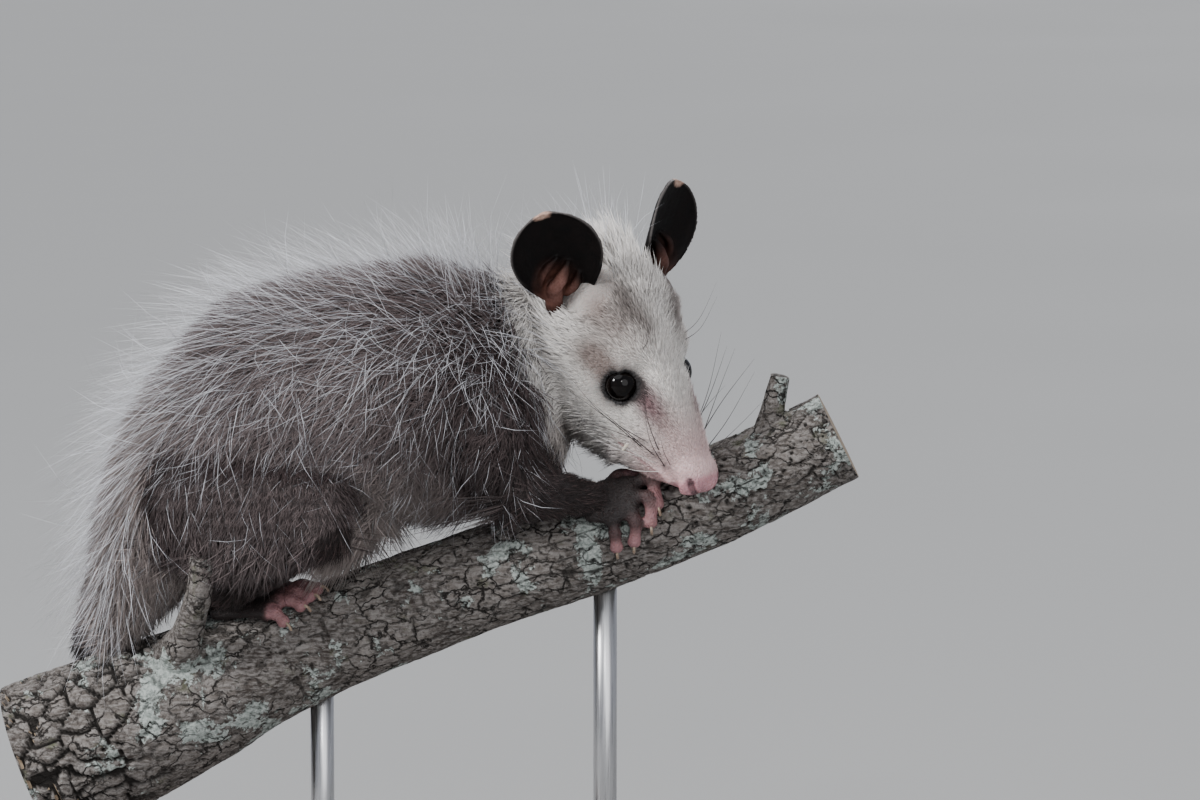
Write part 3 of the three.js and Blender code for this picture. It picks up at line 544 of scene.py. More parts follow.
# The lips', mouth's and nostril's lines in the head's frame, on the left
lip_line = [(-6, 5.3, -5.2), (-11, 6.9, -6.4), (-18, 8.6, -8.2), (-23, 9.8, -9.1)]
mouth_line = [(-1, 0, -5.2), (-5, 5.8, -5.2), (-11, 7.6, -6.4), (-19, 9.4, -8.4), (-25, 11.2, -9.4)]
nostril_line = [(-1.6, 5.2, 1.6), (0.1, 4.5, 0.0), (0.9, 3.6, -1.2), (0.8, 2.4, -2.1)]
digit_radii = [2.0, 1.5, 1.85, 1.5, 1.85]

# The box that the skin is modelled in, and how far from its surface distances are kept
skin_box = ((-106, -52, -104), (86, 56, 104))
skin_band = 5.0


def build_skin(cell, fineness):
    """The forms joined softly. Digits, nose, lips and lids are added, and eyes, nostrils and mouth cut."""
    volume = Volume(*skin_box, cell, skin_band)
    for name, (form, soft) in body_forms.items():
        volume.put(*form.mesh(bend=model_head if name == "head" else None), soft)
    for limb in limbs.values():
        for row in limb["digits"]:
            places = curve_through(limb_points(limb, row))(np.linspace(0, 1, len(digit_radii)))
            volume.put(*tube(places, digit_radii, domes=(0.5, 0.9)).mesh(28, 20), 2.0)
    for side in sides:
        lobe = head_tube([(-5.4, 2.5, -0.1), (-1.2, 2.6, -1.2)], [3.2, 2.95], side)
        volume.put(*lobe.mesh(10, 24), 1.6)
        wing = head_tube([(-5.2, 5.3, 1.3), (-2.6, 5.6, -0.7), (-1.2, 4.8, -2.7)], [1.0, 1.3, 1.2], side)
        volume.put(*wing.mesh(12, 18), 1.0)
        volume.put(*head_tube(lip_line, [0.8, 1.0, 0.9, 0.5], side).mesh(20, 16), 1.2)
        facing = mirrored(eye_facing, side)
        lid_centre = from_head(mirrored(eye_centre, side) + facing * 0.7)
        volume.put(*ring_round(lid_centre, facing @ head_matrix[:3, :3].T, eye_radius, 0.42), 1.2)
    for side in sides:
        centre = mirrored(eye_centre, side)
        socket = tube([from_head(centre - (0.01, 0, 0)), from_head(centre)], [eye_radius] * 2, domes=(1, 1))
        volume.put(*socket.mesh(2, 40), 0.25, cut=True)
        volume.put(*head_tube(nostril_line, [0.4, 1.0, 0.9, 0.5], side).mesh(16, 16), 0.5, cut=True)
        volume.put(*head_tube(mouth_line, [0.35, 0.4, 0.4, 0.35, 0.2], side).mesh(30, 12), 0.5, cut=True)
    return volume.surface(fineness)


# What each place on the skin carries: its share of each form, the lie of its fur, its lengths and its colours

tones = {
    "wool": linear(126, 114, 113),
    "wool_dark": linear(64, 52, 52),
    "belly": linear(172, 160, 155),
    "guard": linear(238, 240, 246),
    "limb": linear(31, 21, 20),
    "cream": linear(240, 235, 230),
    "face_brown": linear(122, 98, 90),
    "eye_smudge": linear(44, 30, 30),
    "stripe": linear(78, 64, 59),
    "snout": linear(218, 180, 180),
    "mauve": linear(132, 98, 102),
    "nose": linear(190, 140, 146),
    # The nostril's tone is nearly black: painted shade in its hollow
    "nostril": linear(34, 8, 18),
    "lid": linear(14, 9, 9),
    "lip": linear(120, 92, 90),
    "digit": linear(138, 100, 100),
    "hand": linear(66, 46, 46),
    "tail_dark": linear(34, 29, 30),
    "tail_pale": linear(196, 168, 158),
    "ear_root": linear(50, 34, 32),
}


def painted(colour, coats):
    """The colour with coats laid over it in turn, each a tone and how much of it covers each place."""
    for tone, share in coats:
        colour = mix(colour, tones[tone], share)
    return colour


def either_side(points):
    return columns(points[:, 0], np.abs(points[:, 1]), points[:, 2])


def face_share(points):
    """1 on the pale face, whose edge runs from behind the ear down round the cheek, and 0 on the coat."""
    h = either_side(to_head(points)) * (1, -1, 1)
    ahead = h @ np.array([0.478, 0.741, 0.470])
    height = h @ np.array([-0.818, 0.180, 0.545])
    heights = [3, 12, 17.4, 22.8, 33.6, 44.4, 56]
    edge = np.interp(height, heights, [-35, -38.6, -42.7, -46.7, -49.4, -51.5, -51.5])
    wobble = smooth_noise(points, 4.5, 41) * 1.8
    return ramp(ahead - edge + wobble, -1.5, 2.5) * ramp(height, 2, 6)


def head_markings(points, colour, face):
    """The face's colours, laid over what is there, from places in the head's own frame."""
    h = to_head(points)
    wobble = smooth_noise(h, 5.0, 11) * 1.6 + smooth_noise(h, 2.2, 12) * 0.7
    h = either_side(h)
    x, y, z = h.T
    patch = bump_at(h, (-39.5, 15, 4.4), (11, 8, 7)) + bump_at(h, (-53, 13, 13), (8, 7, 8)) * 0.45
    patch = patch + bump_at(h, (-46, 10, 13), (16, 12, 10)) * 0.65
    streak = np.interp(x, [-60, -50, -40, -34], [10.5, 8, 5, 4])
    stripe = np.exp(-((y + 0.4 * wobble - streak) / 2.4) ** 2) * 0.7 * ramp(-x, 32, 41) * ramp(z, 4, 12)
    smudge = bump_at(h, (-28.2, 8.2, 5.4), (5.5, 4.5, 5)) * 1.5
    ring = np.exp(-((np.linalg.norm(h - eye_centre, axis=1) - 5.0) / 1.9) ** 2)
    specks = [
        np.exp(-((np.linalg.norm(h - np.array(root), axis=1) / 0.9) ** 2))
        for root, _, _, _, kind in whisker_lines if kind == "dark"
    ]
    return painted(colour, [
        ("cream", face),
        ("face_brown", np.clip(patch, 0, 0.8)),
        ("stripe", stripe),
        ("face_brown", bump_at(h, (-20, 5.5, 5), (16, 4.6, 5)) * 0.55),
        ("snout", ramp(x + 0.6 * wobble, -26, -5) * 0.8),
        ("mauve", bump_at(h, (-23.5, 7.2, 5.6), (10.5, 5, 6)) * 0.95),
        ("eye_smudge", np.clip(smudge + 0.8 * ring, 0, 0.96)),
        *(("eye_smudge", 0.75 * speck) for speck in specks),
        # The jaw's underside darker brown: partly its brownish fur, partly painted shade under the chin
        ("face_brown", ramp(-z, 13, 20) * ramp(x, -60, -45) * (1 - ramp(x, -20, -8)) * 0.45),
        ("ear_root", bump_at(h, (-60, 14.5, 7), (8, 7, 7)) * 0.8),
    ])


def digit_places(points, limb):
    """How far each point is from the nearest digit's middle line, and how far along that digit it lies."""
    best = np.full(len(points), 99.0)
    along = np.zeros(len(points))
    for row in limb["digits"]:
        share = np.linspace(0.1, 1, 14)
        for s, p in zip(share, curve_through(limb_points(limb, row))(share)):
            away = np.linalg.norm(points - p, axis=1)
            along = np.where(away < best, s, along)
            best = np.minimum(best, away)
    return best, along


def nearest_on(points, path):
    """How far each point, taken to the left side of the head, is from a line there."""
    h = either_side(to_head(points))
    places = curve_through(path)(np.linspace(0, 1, 30))
    return np.min([np.linalg.norm(h - place, axis=1) for place in places], axis=0)


def shared_forms(points):
    """By form: its share of each point, the point's place along and round it, and its direction. Then the
    digits' share of each point and how pink it is."""
    shares = {}
    places = {}
    lies = {}
    for name, (form, _) in body_forms.items():
        t, a, off, lies[name] = form.locate(points)
        shares[name] = np.exp(-((np.maximum(off, 0) / 2.2) ** 2)) + 1e-6
        places[name] = (t, a)
    digit = np.zeros(len(points))
    pink = np.zeros(len(points))
    for name, limb in limbs.items():
        away, reach = digit_places(points, limb)
        on_digit = 1 - ramp(away, 2.4, 3.2)
        start, pink_from = (0.16, 0.55) if name.startswith("fore") else (0.0, 0.0)
        digit = np.maximum(digit, on_digit * ramp(reach, start, start + 0.3))
        pink = np.maximum(pink, on_digit * ramp(reach, pink_from, pink_from + 0.35))
        shares["head"] = shares["head"] * ramp(away, 2.2, 2.6) + 1e-9
        shares[name + "_paw"] = np.maximum(shares[name + "_paw"], on_digit * ramp(reach, 0.1, 0.3))
    total = sum(shares.values())
    return {name: share / total for name, share in shares.items()}, places, lies, digit, pink


def lie_of_fur(points, normals, shares, places, lies):
    """The direction the fur lies in: back along the body and head, down the flanks and thighs."""
    down = np.array([0.0, 0.0, -1.0])
    t, a = places["trunk"]
    lies["trunk"] = -lies["trunk"] + down * (0.85 * np.abs(np.cos(a)) * ramp(t, 0.05, 0.4))[:, None]
    lies["head"] = -lies["head"] + (head_matrix[:3, :3] @ np.array([0, 0, -0.35]))
    for name in limbs:
        if name.startswith("hind"):
            lies[name + "_upper"] = np.broadcast_to([-0.2, 0, -1.0], points.shape)
        else:
            lies[name + "_upper"] = lies[name + "_upper"] + np.array([-0.5, 0, -0.6])
    lie = sum(lies[name] * shares[name][:, None] for name in shares)
    swirl = columns(*(smooth_noise(points, 16, 20 + k) for k in range(3)))
    lie = unit(lie) + 0.28 * swirl
    return unit(lie - normals * (lie * normals).sum(1, keepdims=True))


def describe(points, normals):
    """All that grows at each point, by name."""
    shares, places, lies, digit, pink = shared_forms(points)
    lie = lie_of_fur(points, normals, shares, places, lies)
    lower, upper, paw = (sum(shares[name + end] for name in limbs) for end in ("_lower", "_upper", "_paw"))
    thigh, arm = (shares[end + "_right_upper"] + shares[end + "_left_upper"] for end in ("hind", "fore"))
    trunk, head, tail = (shares[name] for name in ("trunk", "head", "tail"))
    trunk_t, trunk_a = places["trunk"]
    tail_t = places["tail"][0]
    over = np.sin(trunk_a)
    height = normals[:, 2]
    on_limbs = np.clip(lower + paw, 0, 1)

    h = to_head(points)
    snout = ramp(h[:, 0], -30, -6)
    back_of_head = 1 - ramp(h[:, 0], -66, -48)
    tail_skin = tail * ramp(tail_t, 0.12, 0.18)
    tail_fur = tail * (1 - ramp(tail_t, 0.11, 0.18))
    digit *= 1 - np.clip(trunk + upper + head, 0, 1)
    pink *= 1 - np.clip(trunk + upper + head, 0, 1)
    eyes, ears = (
        np.minimum(*(np.linalg.norm(h - mirrored(place, side), axis=1) for side in sides))
        for place in (eye_centre, (-61, 13.6, 10))
    )
    lid = 1 - ramp(eyes, eye_radius + 0.9, eye_radius + 1.7)
    ahead = (h[:, 0] - 0.4 * h[:, 2] + 0.5 * smooth_noise(h, 2.0, 13)) * (head > 0.3) - 90 * (head <= 0.3)
    nose = ramp(ahead, -3.9, -1.7)
    lip = (1 - ramp(nearest_on(points, mouth_line), 0.45, 1.0)) * (head > 0.3)
    # Where the nostril's hollow gets its painted shade
    nostril = 1 - ramp(nearest_on(points, nostril_line), 0.7, 1.2)
    face = face_share(points) * np.clip(head + trunk, 0, 1)
    bare = np.clip(digit + lid + nose + lip + 0.6 * ramp(ahead, -13, -4) + tail_skin, 0, 1)

    fringe = bump_at(either_side(points), (-13, 16, 22), (18, 24, 15)) * (1 - ramp(height, -0.5, 0.4))
    crest = bump_at(h, (-58, 0, 16), (15, 11, 14)) * head
    jaw = ramp(-h[:, 2], 8, 14) * ramp(h[:, 0], -62, -50) * (1 - ramp(h[:, 0], -24, -14)) * head
    cheek_back = ramp(-h[:, 0], 41, 52) * ramp(-h[:, 2], -4, 2) * head
    length = (
        trunk * blend(10.5, 13.0, ramp(over, -0.5, 0.8))
        + head * (blend(3.4, 1.3, snout) + 7.5 * back_of_head)
        + 7.5 * cheek_back
        + 3.5 * jaw
        + thigh * (5.0 + 7.5 * ramp(-height, 0.1, 0.7))
        + arm * 7.5
        + lower * 3.6
        + paw * 1.1
        + tail_fur * 8.0
    )
    length = blend(length, np.minimum(length, 8.0), face * trunk) + 9 * fringe * np.clip(trunk + thigh, 0, 1)
    length = length * (1 - 0.55 * ramp(ahead, -12, -4))
    length = np.minimum(length, np.maximum(0.5, (eyes - 5.0) * 0.6))
    length = np.minimum(length, blend(3.0, 20, ramp(ears, 6, 12)))
    head_rise = head_inset(places["head"][0]) - 0.45
    rise = trunk * 5.4 + head * head_rise + upper * 2.6 + lower * 1.1 + paw * 0.3 + tail_fur * 1.9
    rise = blend(rise, np.minimum(rise, 4.4), face * trunk) + 1.4 * cheek_back + 1.0 * jaw
    rise = np.minimum(rise, length * 0.6)
    rise = np.minimum(rise, np.maximum(0.25, (eyes - 5.2) * 0.3))

    patchy = 0.5 + 0.5 * smooth_noise(points, 14, 5)
    mottle = smooth_noise(points, 7, 6) * 0.16 + smooth_noise(points, 3, 7) * 0.12
    arm_t = np.where(points[:, 1] < 0, places["fore_right_upper"][0], places["fore_left_upper"][0])
    coat_colour = painted(np.broadcast_to(tones["wool"], points.shape), [
        ("wool_dark", np.clip(0.3 * patchy * trunk + mottle, 0, 1)),
        ("wool_dark", trunk * ramp(trunk_t, 0.5, 0.75) * (1 - 0.5 * ramp(over, 0.5, 0.95))),
        ("wool_dark", 0.5 * trunk * ramp(over, 0.2, 0.9)),
        # The rump lighter: partly its many pale hairs, partly painted light against the shade that falls on
        # it
        ("belly", 0.7 * trunk * ramp(-points[:, 0], 46, 76)),
        ("belly", trunk * (1 - ramp(over, -0.8, -0.1)) * 0.7 * (1 - ramp(trunk_t, 0.6, 0.75))),
        # The limbs' own darker fur, and where thigh meets trunk a painted shade in the crease between them
        ("wool_dark", np.clip(0.55 * thigh + 0.85 * arm + 4 * thigh * trunk, 0, 1)),
        ("belly", 0.85 * fringe),
        ("limb", arm * ramp(arm_t, 0.2, 0.9) * 0.9),
        ("limb", on_limbs * 0.95),
        ("tail_dark", tail * ramp(tail_t, 0.06, 0.12)),
        ("tail_pale", tail * ramp(tail_t + 0.03 * smooth_noise(points, 3, 8), 0.36, 0.46)),
        ("hand", digit),
        ("digit", pink),
    ])
    near_face = ramp(head + face * trunk, 0.25, 0.6)
    markings = painted(mix(coat_colour, head_markings(points, coat_colour, face), near_face), [
        ("nose", nose),
        ("lip", lip * (1 - ramp(h[:, 0], -10, -3)) * 0.9),
        ("lid", lid),
        # Painted shade in the nostril's hollow
        ("nostril", nostril),
    ])
    return dict(
        lie=lie, length=length, rise=rise, markings=markings, coat_colour=coat_colour, near_face=near_face,
        face=face, bare=bare, pink=np.clip(pink + nose + lip, 0, 1), head=head, trunk=trunk, upper=upper,
        lower=lower, paw=paw, over=over, trunk_t=trunk_t, tail_skin=tail_skin, tail_fur=tail_fur,
        fringe=fringe, height=height, bake=unwrapped(shares, places), crest=crest, jaw=jaw,
        back_of_head=back_of_head * head, arm=arm, thigh=thigh,
    )


def unwrapped(shares, places):
    """Where each point lies on the skin's unwrap: one tile for each form, four to a side."""
    owner = np.argmax([shares[name] for name in body_forms], axis=0)
    each = np.arange(len(owner))
    t, a = (np.array([places[name][k] for name in body_forms])[owner, each] for k in range(2))
    row, column = np.divmod(owner, 4)
    return columns((column + 0.04 + 0.92 * (a / (2 * math.pi) % 1)) / 4, (row + 0.04 + 0.92 * t) / 4)


def normals_of(points, triangles):
    """Each point's normal, and each triangle's area."""
    a, b, c = (points[triangles[:, k]] for k in range(3))
    face = np.cross(b - a, c - a)
    total = np.zeros_like(points)
    for k in range(3):
        for axis in range(3):
            total[:, axis] += np.bincount(triangles[:, k], face[:, axis], len(points))
    return unit(total), np.linalg.norm(face, axis=1) / 2


# Plain meshes from arrays

def to_metres(points):
    return (np.asarray(points) + (0, 0, perch_height)) / 1000


def new_object(name, data):
    piece = bpy.data.objects.new(name, data)
    bpy.context.scene.collection.objects.link(piece)
    return piece


def new_piece(name, points, corners, sizes, materials, floats=None, colours=None, uvs=None):
    """A smooth mesh object. corners are the faces' points end to end, and sizes how many each face has."""
    mesh = bpy.data.meshes.new(name)
    corners = np.asarray(corners, np.int32).ravel()
    sizes = np.asarray(sizes, np.int32)
    mesh.vertices.add(len(points))
    mesh.vertices.foreach_set("co", to_metres(points).astype(np.float32).ravel())
    mesh.loops.add(len(corners))
    mesh.loops.foreach_set("vertex_index", corners)
    mesh.polygons.add(len(sizes))
    mesh.polygons.foreach_set("loop_start", np.concatenate([[0], np.cumsum(sizes)[:-1]]).astype(np.int32))
    mesh.polygons.foreach_set("loop_total", sizes)
    mesh.polygons.foreach_set("use_smooth", np.full(len(sizes), True))
    for key, values in (uvs or {}).items():
        mesh.uv_layers.new(name=key).data.foreach_set("uv", np.asarray(values, np.float32).ravel())
    for key, values in (floats or {}).items():
        data = mesh.attributes.new(key, "FLOAT", "POINT").data
        data.foreach_set("value", np.asarray(values, np.float32).ravel())
    for key, values in (colours or {}).items():
        full = np.concatenate([values, np.ones((len(values), 1))], axis=1)
        data = mesh.attributes.new(key, "FLOAT_COLOR", "POINT").data
        data.foreach_set("color", full.astype(np.float32).ravel())
    mesh.update(calc_edges=True)
    mesh.validate()
    for material in materials:
        mesh.materials.append(material)
    return new_object(name, mesh)


def triangle_piece(name, points, triangles, materials, **options):
    return new_piece(name, points, triangles, np.full(len(triangles), 3), materials, **options)


# Fur: tufts of solid mesh, each a bent three-sided blade that tapers to a point

most_triangles = 190000

# The side of a tuft's patch on the skin's unwrap, and how many tufts' strands differ
bake_patch = 0.003
strand_places = 97

# No hair passes an ear this near to the middle of its leaf, between these depths in front of it
ear_middle = 14.5
ear_clearance = 15
ear_depths = (-3, 16)


def scatter(skin, density, seed):
    """Roots spread over the skin, density of them to a square millimetre, and what the skin carries there."""
    rng = np.random.default_rng(seed)
    triangles = skin["triangles"]
    total = np.cumsum(skin["area"] * density[triangles].mean(1))
    count = int(total[-1])
    places = (np.arange(count) + rng.random(count)) / count * total[-1]
    chosen = np.minimum(np.searchsorted(total, places), len(triangles) - 1)
    u = np.sqrt(rng.random(count))
    v = rng.random(count)
    shares = columns(1 - u, u * (1 - v), u * v)
    corners = triangles[chosen]

    def between(values):
        each = shares if values.ndim == 1 else shares[..., None]
        return (values[corners] * each).sum(1)

    roots = {key: between(values) for key, values in skin["fields"].items() if key != "bake"}
    roots["bake"] = skin["fields"]["bake"][corners[:, 0]]
    roots["root"] = between(skin["points"])
    roots["normal"] = unit(between(skin["normals"]))
    roots["lie"] = unit(roots["lie"])
    face = face_share(roots["root"]) * np.clip(roots["head"] + roots["trunk"], 0, 1)
    with_face = head_markings(roots["root"], roots["coat_colour"], face)
    roots["markings"] = mix(roots["coat_colour"], with_face, roots["near_face"])
    return roots


def hair_lines(roots, shape, parts):
    """Where each tuft's middle line runs, part by part."""
    turn = shape["turn"][:, None]
    lie = roots["lie"] * np.cos(turn) + np.cross(roots["normal"], roots["lie"]) * np.sin(turn)
    across = np.cross(roots["normal"], lie)
    lines = []
    for s in parts:
        rise = shape["rise"] * blend(s, 1 - (1 - s) ** 2, shape["flat"]) - shape["sink"] * (1 - s)
        line = roots["root"] + lie * (shape["length"] * s)[:, None] + roots["normal"] * rise[:, None]
        line = line + across * (shape["sway"] * s * s)[:, None]
        line = line - np.array([0, 0, 1.0]) * (shape["droop"] * s * s)[:, None]
        lines.append(line + shape["pull"] * (s * s))
    return np.array(lines)


def clear_of_ears(lines):
    """Which hairs pass no ear's leaf in front of it."""
    clear = np.ones(lines.shape[1], bool)
    for side in sides:
        place = ear_matrix(side)
        for k in range(len(lines) - 1):
            for share in (0.4, 0.7, 1.0):
                local = (blend(lines[k], lines[k + 1], share) - place[:3, 3]) @ place[:3, :3]
                inside = np.hypot(local[:, 1], local[:, 2] - ear_middle) < ear_clearance
                clear &= ~(inside & (local[:, 0] > ear_depths[0]) & (local[:, 0] < ear_depths[1]))
    return clear


def tuft_faces(parts):
    """The corners, face sizes and strand places of one tuft, whose last part is its tip."""
    sections = len(parts) - 1
    corners = []
    strand = []
    for k in range(sections):
        for j in range(3):
            n = (j + 1) % 3
            corners += [3 * k + j, 3 * k + n]
            strand += [(j / 3, parts[k]), ((j + 1) / 3, parts[k])]
            if k < sections - 1:
                corners += [3 * k + 3 + n, 3 * k + 3 + j]
                strand += [((j + 1) / 3, parts[k + 1]), (j / 3, parts[k + 1])]
            else:
                corners.append(3 * sections)
                strand.append(((j + 0.5) / 3, 1))
    corners += [2, 1, 0]
    strand += [(0.66, 0), (0.33, 0), (0, 0)]
    sizes = [4] * 3 * (sections - 1) + [3] * 4
    return np.array(corners), sizes, np.array(strand, float)


def tuft_piece(name, roots, shape, centres, parts, profile, material, seed):
    """All tufts as one mesh object. shape gives their sizes: arrays by name."""
    count = len(roots["root"])
    chance = np.random.default_rng(seed).random(count)
    sections = len(parts) - 1
    per_tuft = 3 * sections + 1
    points = np.empty((count, per_tuft, 3))
    for k in range(sections):
        forward = unit(centres[k + 1] - centres[max(k - 1, 0)])
        side = unit(np.cross(forward, roots["normal"]) + 1e-6)
        out = np.cross(side, forward)
        half = (shape["width"] * profile[k] / 2)[:, None]
        thick = half * shape["thick"]
        points[:, 3 * k] = centres[k] + side * half - out * thick * 0.5
        points[:, 3 * k + 1] = centres[k] - side * half - out * thick * 0.5
        points[:, 3 * k + 2] = centres[k] + out * thick
    points[:, -1] = centres[-1]
    corners, sizes, strand = tuft_faces(parts)
    bake = roots["bake"][:, None, :] + bake_patch * (strand[None] - 0.5)
    strands = np.broadcast_to(strand, (count, len(strand), 2)).copy()
    strands[..., 0] += np.floor(chance * strand_places)[:, None]
    along = np.concatenate([np.repeat(parts[:-1], 3), [1.0]])
    return new_piece(
        name, points.reshape(-1, 3), np.arange(count)[:, None] * per_tuft + corners, np.tile(sizes, count),
        [material],
        floats={"along": np.tile(along, count), "chance": np.repeat(chance, per_tuft)},
        colours={"markings": np.repeat(roots["markings"], per_tuft, axis=0)},
        uvs={"OFBake": bake.reshape(-1, 2), "strand": strands.reshape(-1, 2)},
    )


def clump_pull(roots, shape, cell, strength, seed):
    """Draws the tips of neighbouring tufts together, so that the coat parts into small locks."""
    rng = np.random.default_rng(seed)
    tips = roots["root"] + roots["lie"] * shape["length"][:, None] * 0.6
    key = np.floor(tips / cell + 0.35 * smooth_noise(tips, cell * 2, seed)[:, None]).astype(np.int64)
    code = (key[:, 0] * 73856093) ^ (key[:, 1] * 19349663) ^ (key[:, 2] * 83492791)
    _, group = np.unique(code, return_inverse=True)
    count = np.bincount(group)
    middle = columns(*(np.bincount(group, tips[:, k]) / count for k in range(3)))
    shift = rng.normal(0, 0.04, (len(count), 3))
    pull = (middle[group] - tips) * strength + shift[group] * shape["length"][:, None]
    return pull - roots["normal"] * (pull * roots["normal"]).sum(1, keepdims=True)


def coat_pieces(name, roots, shape, parts, profile, material, seed):
    """The tufts as pieces of fewer than 200,000 triangles, from the rump forwards."""
    lines = hair_lines(roots, shape, parts)
    clear = np.flatnonzero(clear_of_ears(lines))
    order = clear[np.argsort(roots["root"][clear, 0], kind="stable")]
    triangles = 6 * (len(parts) - 2) + 4
    result = []
    pieces = math.ceil(len(order) * triangles / most_triangles)
    for k, chosen in enumerate(np.array_split(order, pieces)):
        part_roots, part_shape = (
            {key: v[chosen] if np.ndim(v) else v for key, v in values.items()} for values in (roots, shape)
        )
        part_lines = lines[:, chosen]
        part_name = f"{name}_{k + 1}"
        piece = tuft_piece(part_name, part_roots, part_shape, part_lines, parts, profile, material, seed + k)
        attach(piece, "root")
        result.append(piece)
    return result


# Materials

class Value:
    """A node's output. Sums are written with it as with a number."""

    def __init__(self, nodes, socket):
        self.nodes = nodes
        self.socket = socket

    def __add__(self, other):
        return self.nodes.math("ADD", self, other)

    def __sub__(self, other):
        return self.nodes.math("SUBTRACT", self, other)

    def __mul__(self, other):
        return self.nodes.math("MULTIPLY", self, other)

    def ranged(self, low, high, to_low=0.0, to_high=1.0):
        """Low to high, as to_low to to_high."""
        inputs = {"Value": self, "From Min": low, "From Max": high, "To Min": to_low, "To Max": to_high}
        return self.nodes.add("ShaderNodeMapRange", inputs, "Result")


class Nodes:
    """Adds nodes to a tree. An input is given a number, a colour or another node's output."""

    def __init__(self, tree):
        self.tree = tree

    def give(self, socket, value):
        if isinstance(value, Value):
            self.tree.links.new(value.socket, socket)
        elif socket.type == "RGBA":
            socket.default_value = (*value, 1.0)
        else:
            socket.default_value = value

    def add(self, kind, inputs, output=0, **settings):
        node = self.tree.nodes.new(kind)
        for key, value in settings.items():
            setattr(node, key, value)
        for key, value in inputs.items():
            self.give(node.inputs[key], value)
        return Value(self, node.outputs[output])

    def math(self, operation, *values):
        return self.add("ShaderNodeMath", dict(enumerate(values)), operation=operation)

    def attribute(self, name, output="Fac"):
        return self.add("ShaderNodeAttribute", {}, output, attribute_name=name)

    def place(self, *stretch):
        """The place on the object, stretched along each axis."""
        place = self.add("ShaderNodeTexCoord", {}, "Object")
        return self.scaled(place, *stretch) if stretch else place

    def scaled(self, at, x, y, z):
        return self.add("ShaderNodeMapping", {"Vector": at, "Scale": (x, y, z)})

    def noise(self, scale, detail=3.0, roughness=0.55, distortion=0.0, at=None, output="Fac"):
        inputs = {"Vector": at or self.place(), "Scale": scale, "Detail": detail, "Roughness": roughness,
                  "Distortion": distortion}
        return self.add("ShaderNodeTexNoise", inputs, output)

    def cells(self, scale, at=None, feature="DISTANCE_TO_EDGE"):
        inputs = {"Vector": at or self.place(), "Scale": scale}
        return self.add("ShaderNodeTexVoronoi", inputs, "Distance", feature=feature)

    def mix(self, share, a, b, kind="MIX"):
        return self.add("ShaderNodeMix", {0: share, 6: a, 7: b}, 2, data_type="RGBA", blend_type=kind)

    def two_tones(self, share, low, high, dark, pale):
        return self.mix(share.ranged(low, high), dark, pale)

    def shaded(self, colour, level):
        """The colour times a level."""
        grey = self.add("ShaderNodeCombineColor", {"Red": level, "Green": level, "Blue": level})
        return self.mix(1.0, colour, grey, "MULTIPLY")


class Paint(Nodes):
    """The nodes of a new material."""

    def __init__(self, name):
        self.material = bpy.data.materials.new(name)
        self.material.use_nodes = True
        super().__init__(self.material.node_tree)
        self.tree.nodes.clear()
        output = self.tree.nodes.new("ShaderNodeOutputMaterial")
        self.shader = self.tree.nodes.new("ShaderNodeBsdfPrincipled")
        self.tree.links.new(self.shader.outputs["BSDF"], output.inputs["Surface"])

    def finish(self, colour, rough, height, depth, strength, **rest):
        """The material, once its colour, roughness, bump and other inputs are on the shader."""
        normal = self.add("ShaderNodeBump", {"Height": height, "Distance": depth, "Strength": strength})
        for key, value in {"Base_Color": colour, "Roughness": rough, "Normal": normal, **rest}.items():
            self.give(self.shader.inputs[key.replace("_", " ")], value)
        return self.material


def new_tree(name, kind, inputs, outputs):
    """A node group with sockets of these types, and its own input and output sockets inside."""
    tree = bpy.data.node_groups.new(name, kind)
    for way, sockets in (("INPUT", inputs), ("OUTPUT", outputs)):
        for key, socket in sockets.items():
            tree.interface.new_socket(key, in_out=way, socket_type="NodeSocket" + socket)
    return tree, tree.nodes.new("NodeGroupInput").outputs, tree.nodes.new("NodeGroupOutput").inputs


def strand_group():
    """Shared by all fur: the tone along and across a tuft, from its own strands. Along a tuft it runs from
    darker at the root to lighter at the tip, a painted shade deep in the coat.
    """
    name = "strand tone"
    if name in bpy.data.node_groups:
        return bpy.data.node_groups[name]
    tree, given, results = new_tree(
        name, "ShaderNodeTree",
        {"Markings": "Color", "Root tone": "Float", "Tip tone": "Float", "Spread": "Float"},
        {"Colour": "Color", "Height": "Float"},
    )
    n = Nodes(tree)
    markings, root_shade, tip_tone, spread = (Value(n, socket) for socket in list(given)[:4])
    streak = n.noise(1.0, 2.0, at=n.scaled(n.add("ShaderNodeUVMap", {}, uv_map="strand"), 9, 0.9, 1))
    # Darker at the root than at the tip: painted shade deep among the tufts
    tone = n.attribute("along").ranged(0.0, 1.0, root_shade, tip_tone)
    swing = (n.attribute("chance") - 0.5) * spread + 1.0
    level = tone * swing * streak.ranged(0.3, 0.7, 0.88, 1.1)
    n.give(results["Colour"], n.shaded(markings, level))
    n.give(results["Height"], streak)
    return tree


def fur_material(name, root_shade, tip_tone, spread, roughness=0.62):
    # The root's level is a painted shade deep in the coat, and the tip's level is a little lighter
    n = Paint(name)
    given = {"Markings": n.attribute("markings", "Color"), "Root tone": root_shade, "Tip tone": tip_tone,
             "Spread": spread}
    colour = n.add("ShaderNodeGroup", given, "Colour", node_tree=strand_group())
    height = Value(n, colour.socket.node.outputs["Height"])
    rough = height.ranged(0.2, 0.8, roughness - 0.08, roughness + 0.1)
    return n.finish(colour, rough, height, 0.00012, 0.7,
                    Sheen_Weight=0.08, Sheen_Roughness=0.4, Specular_IOR_Level=0.22)


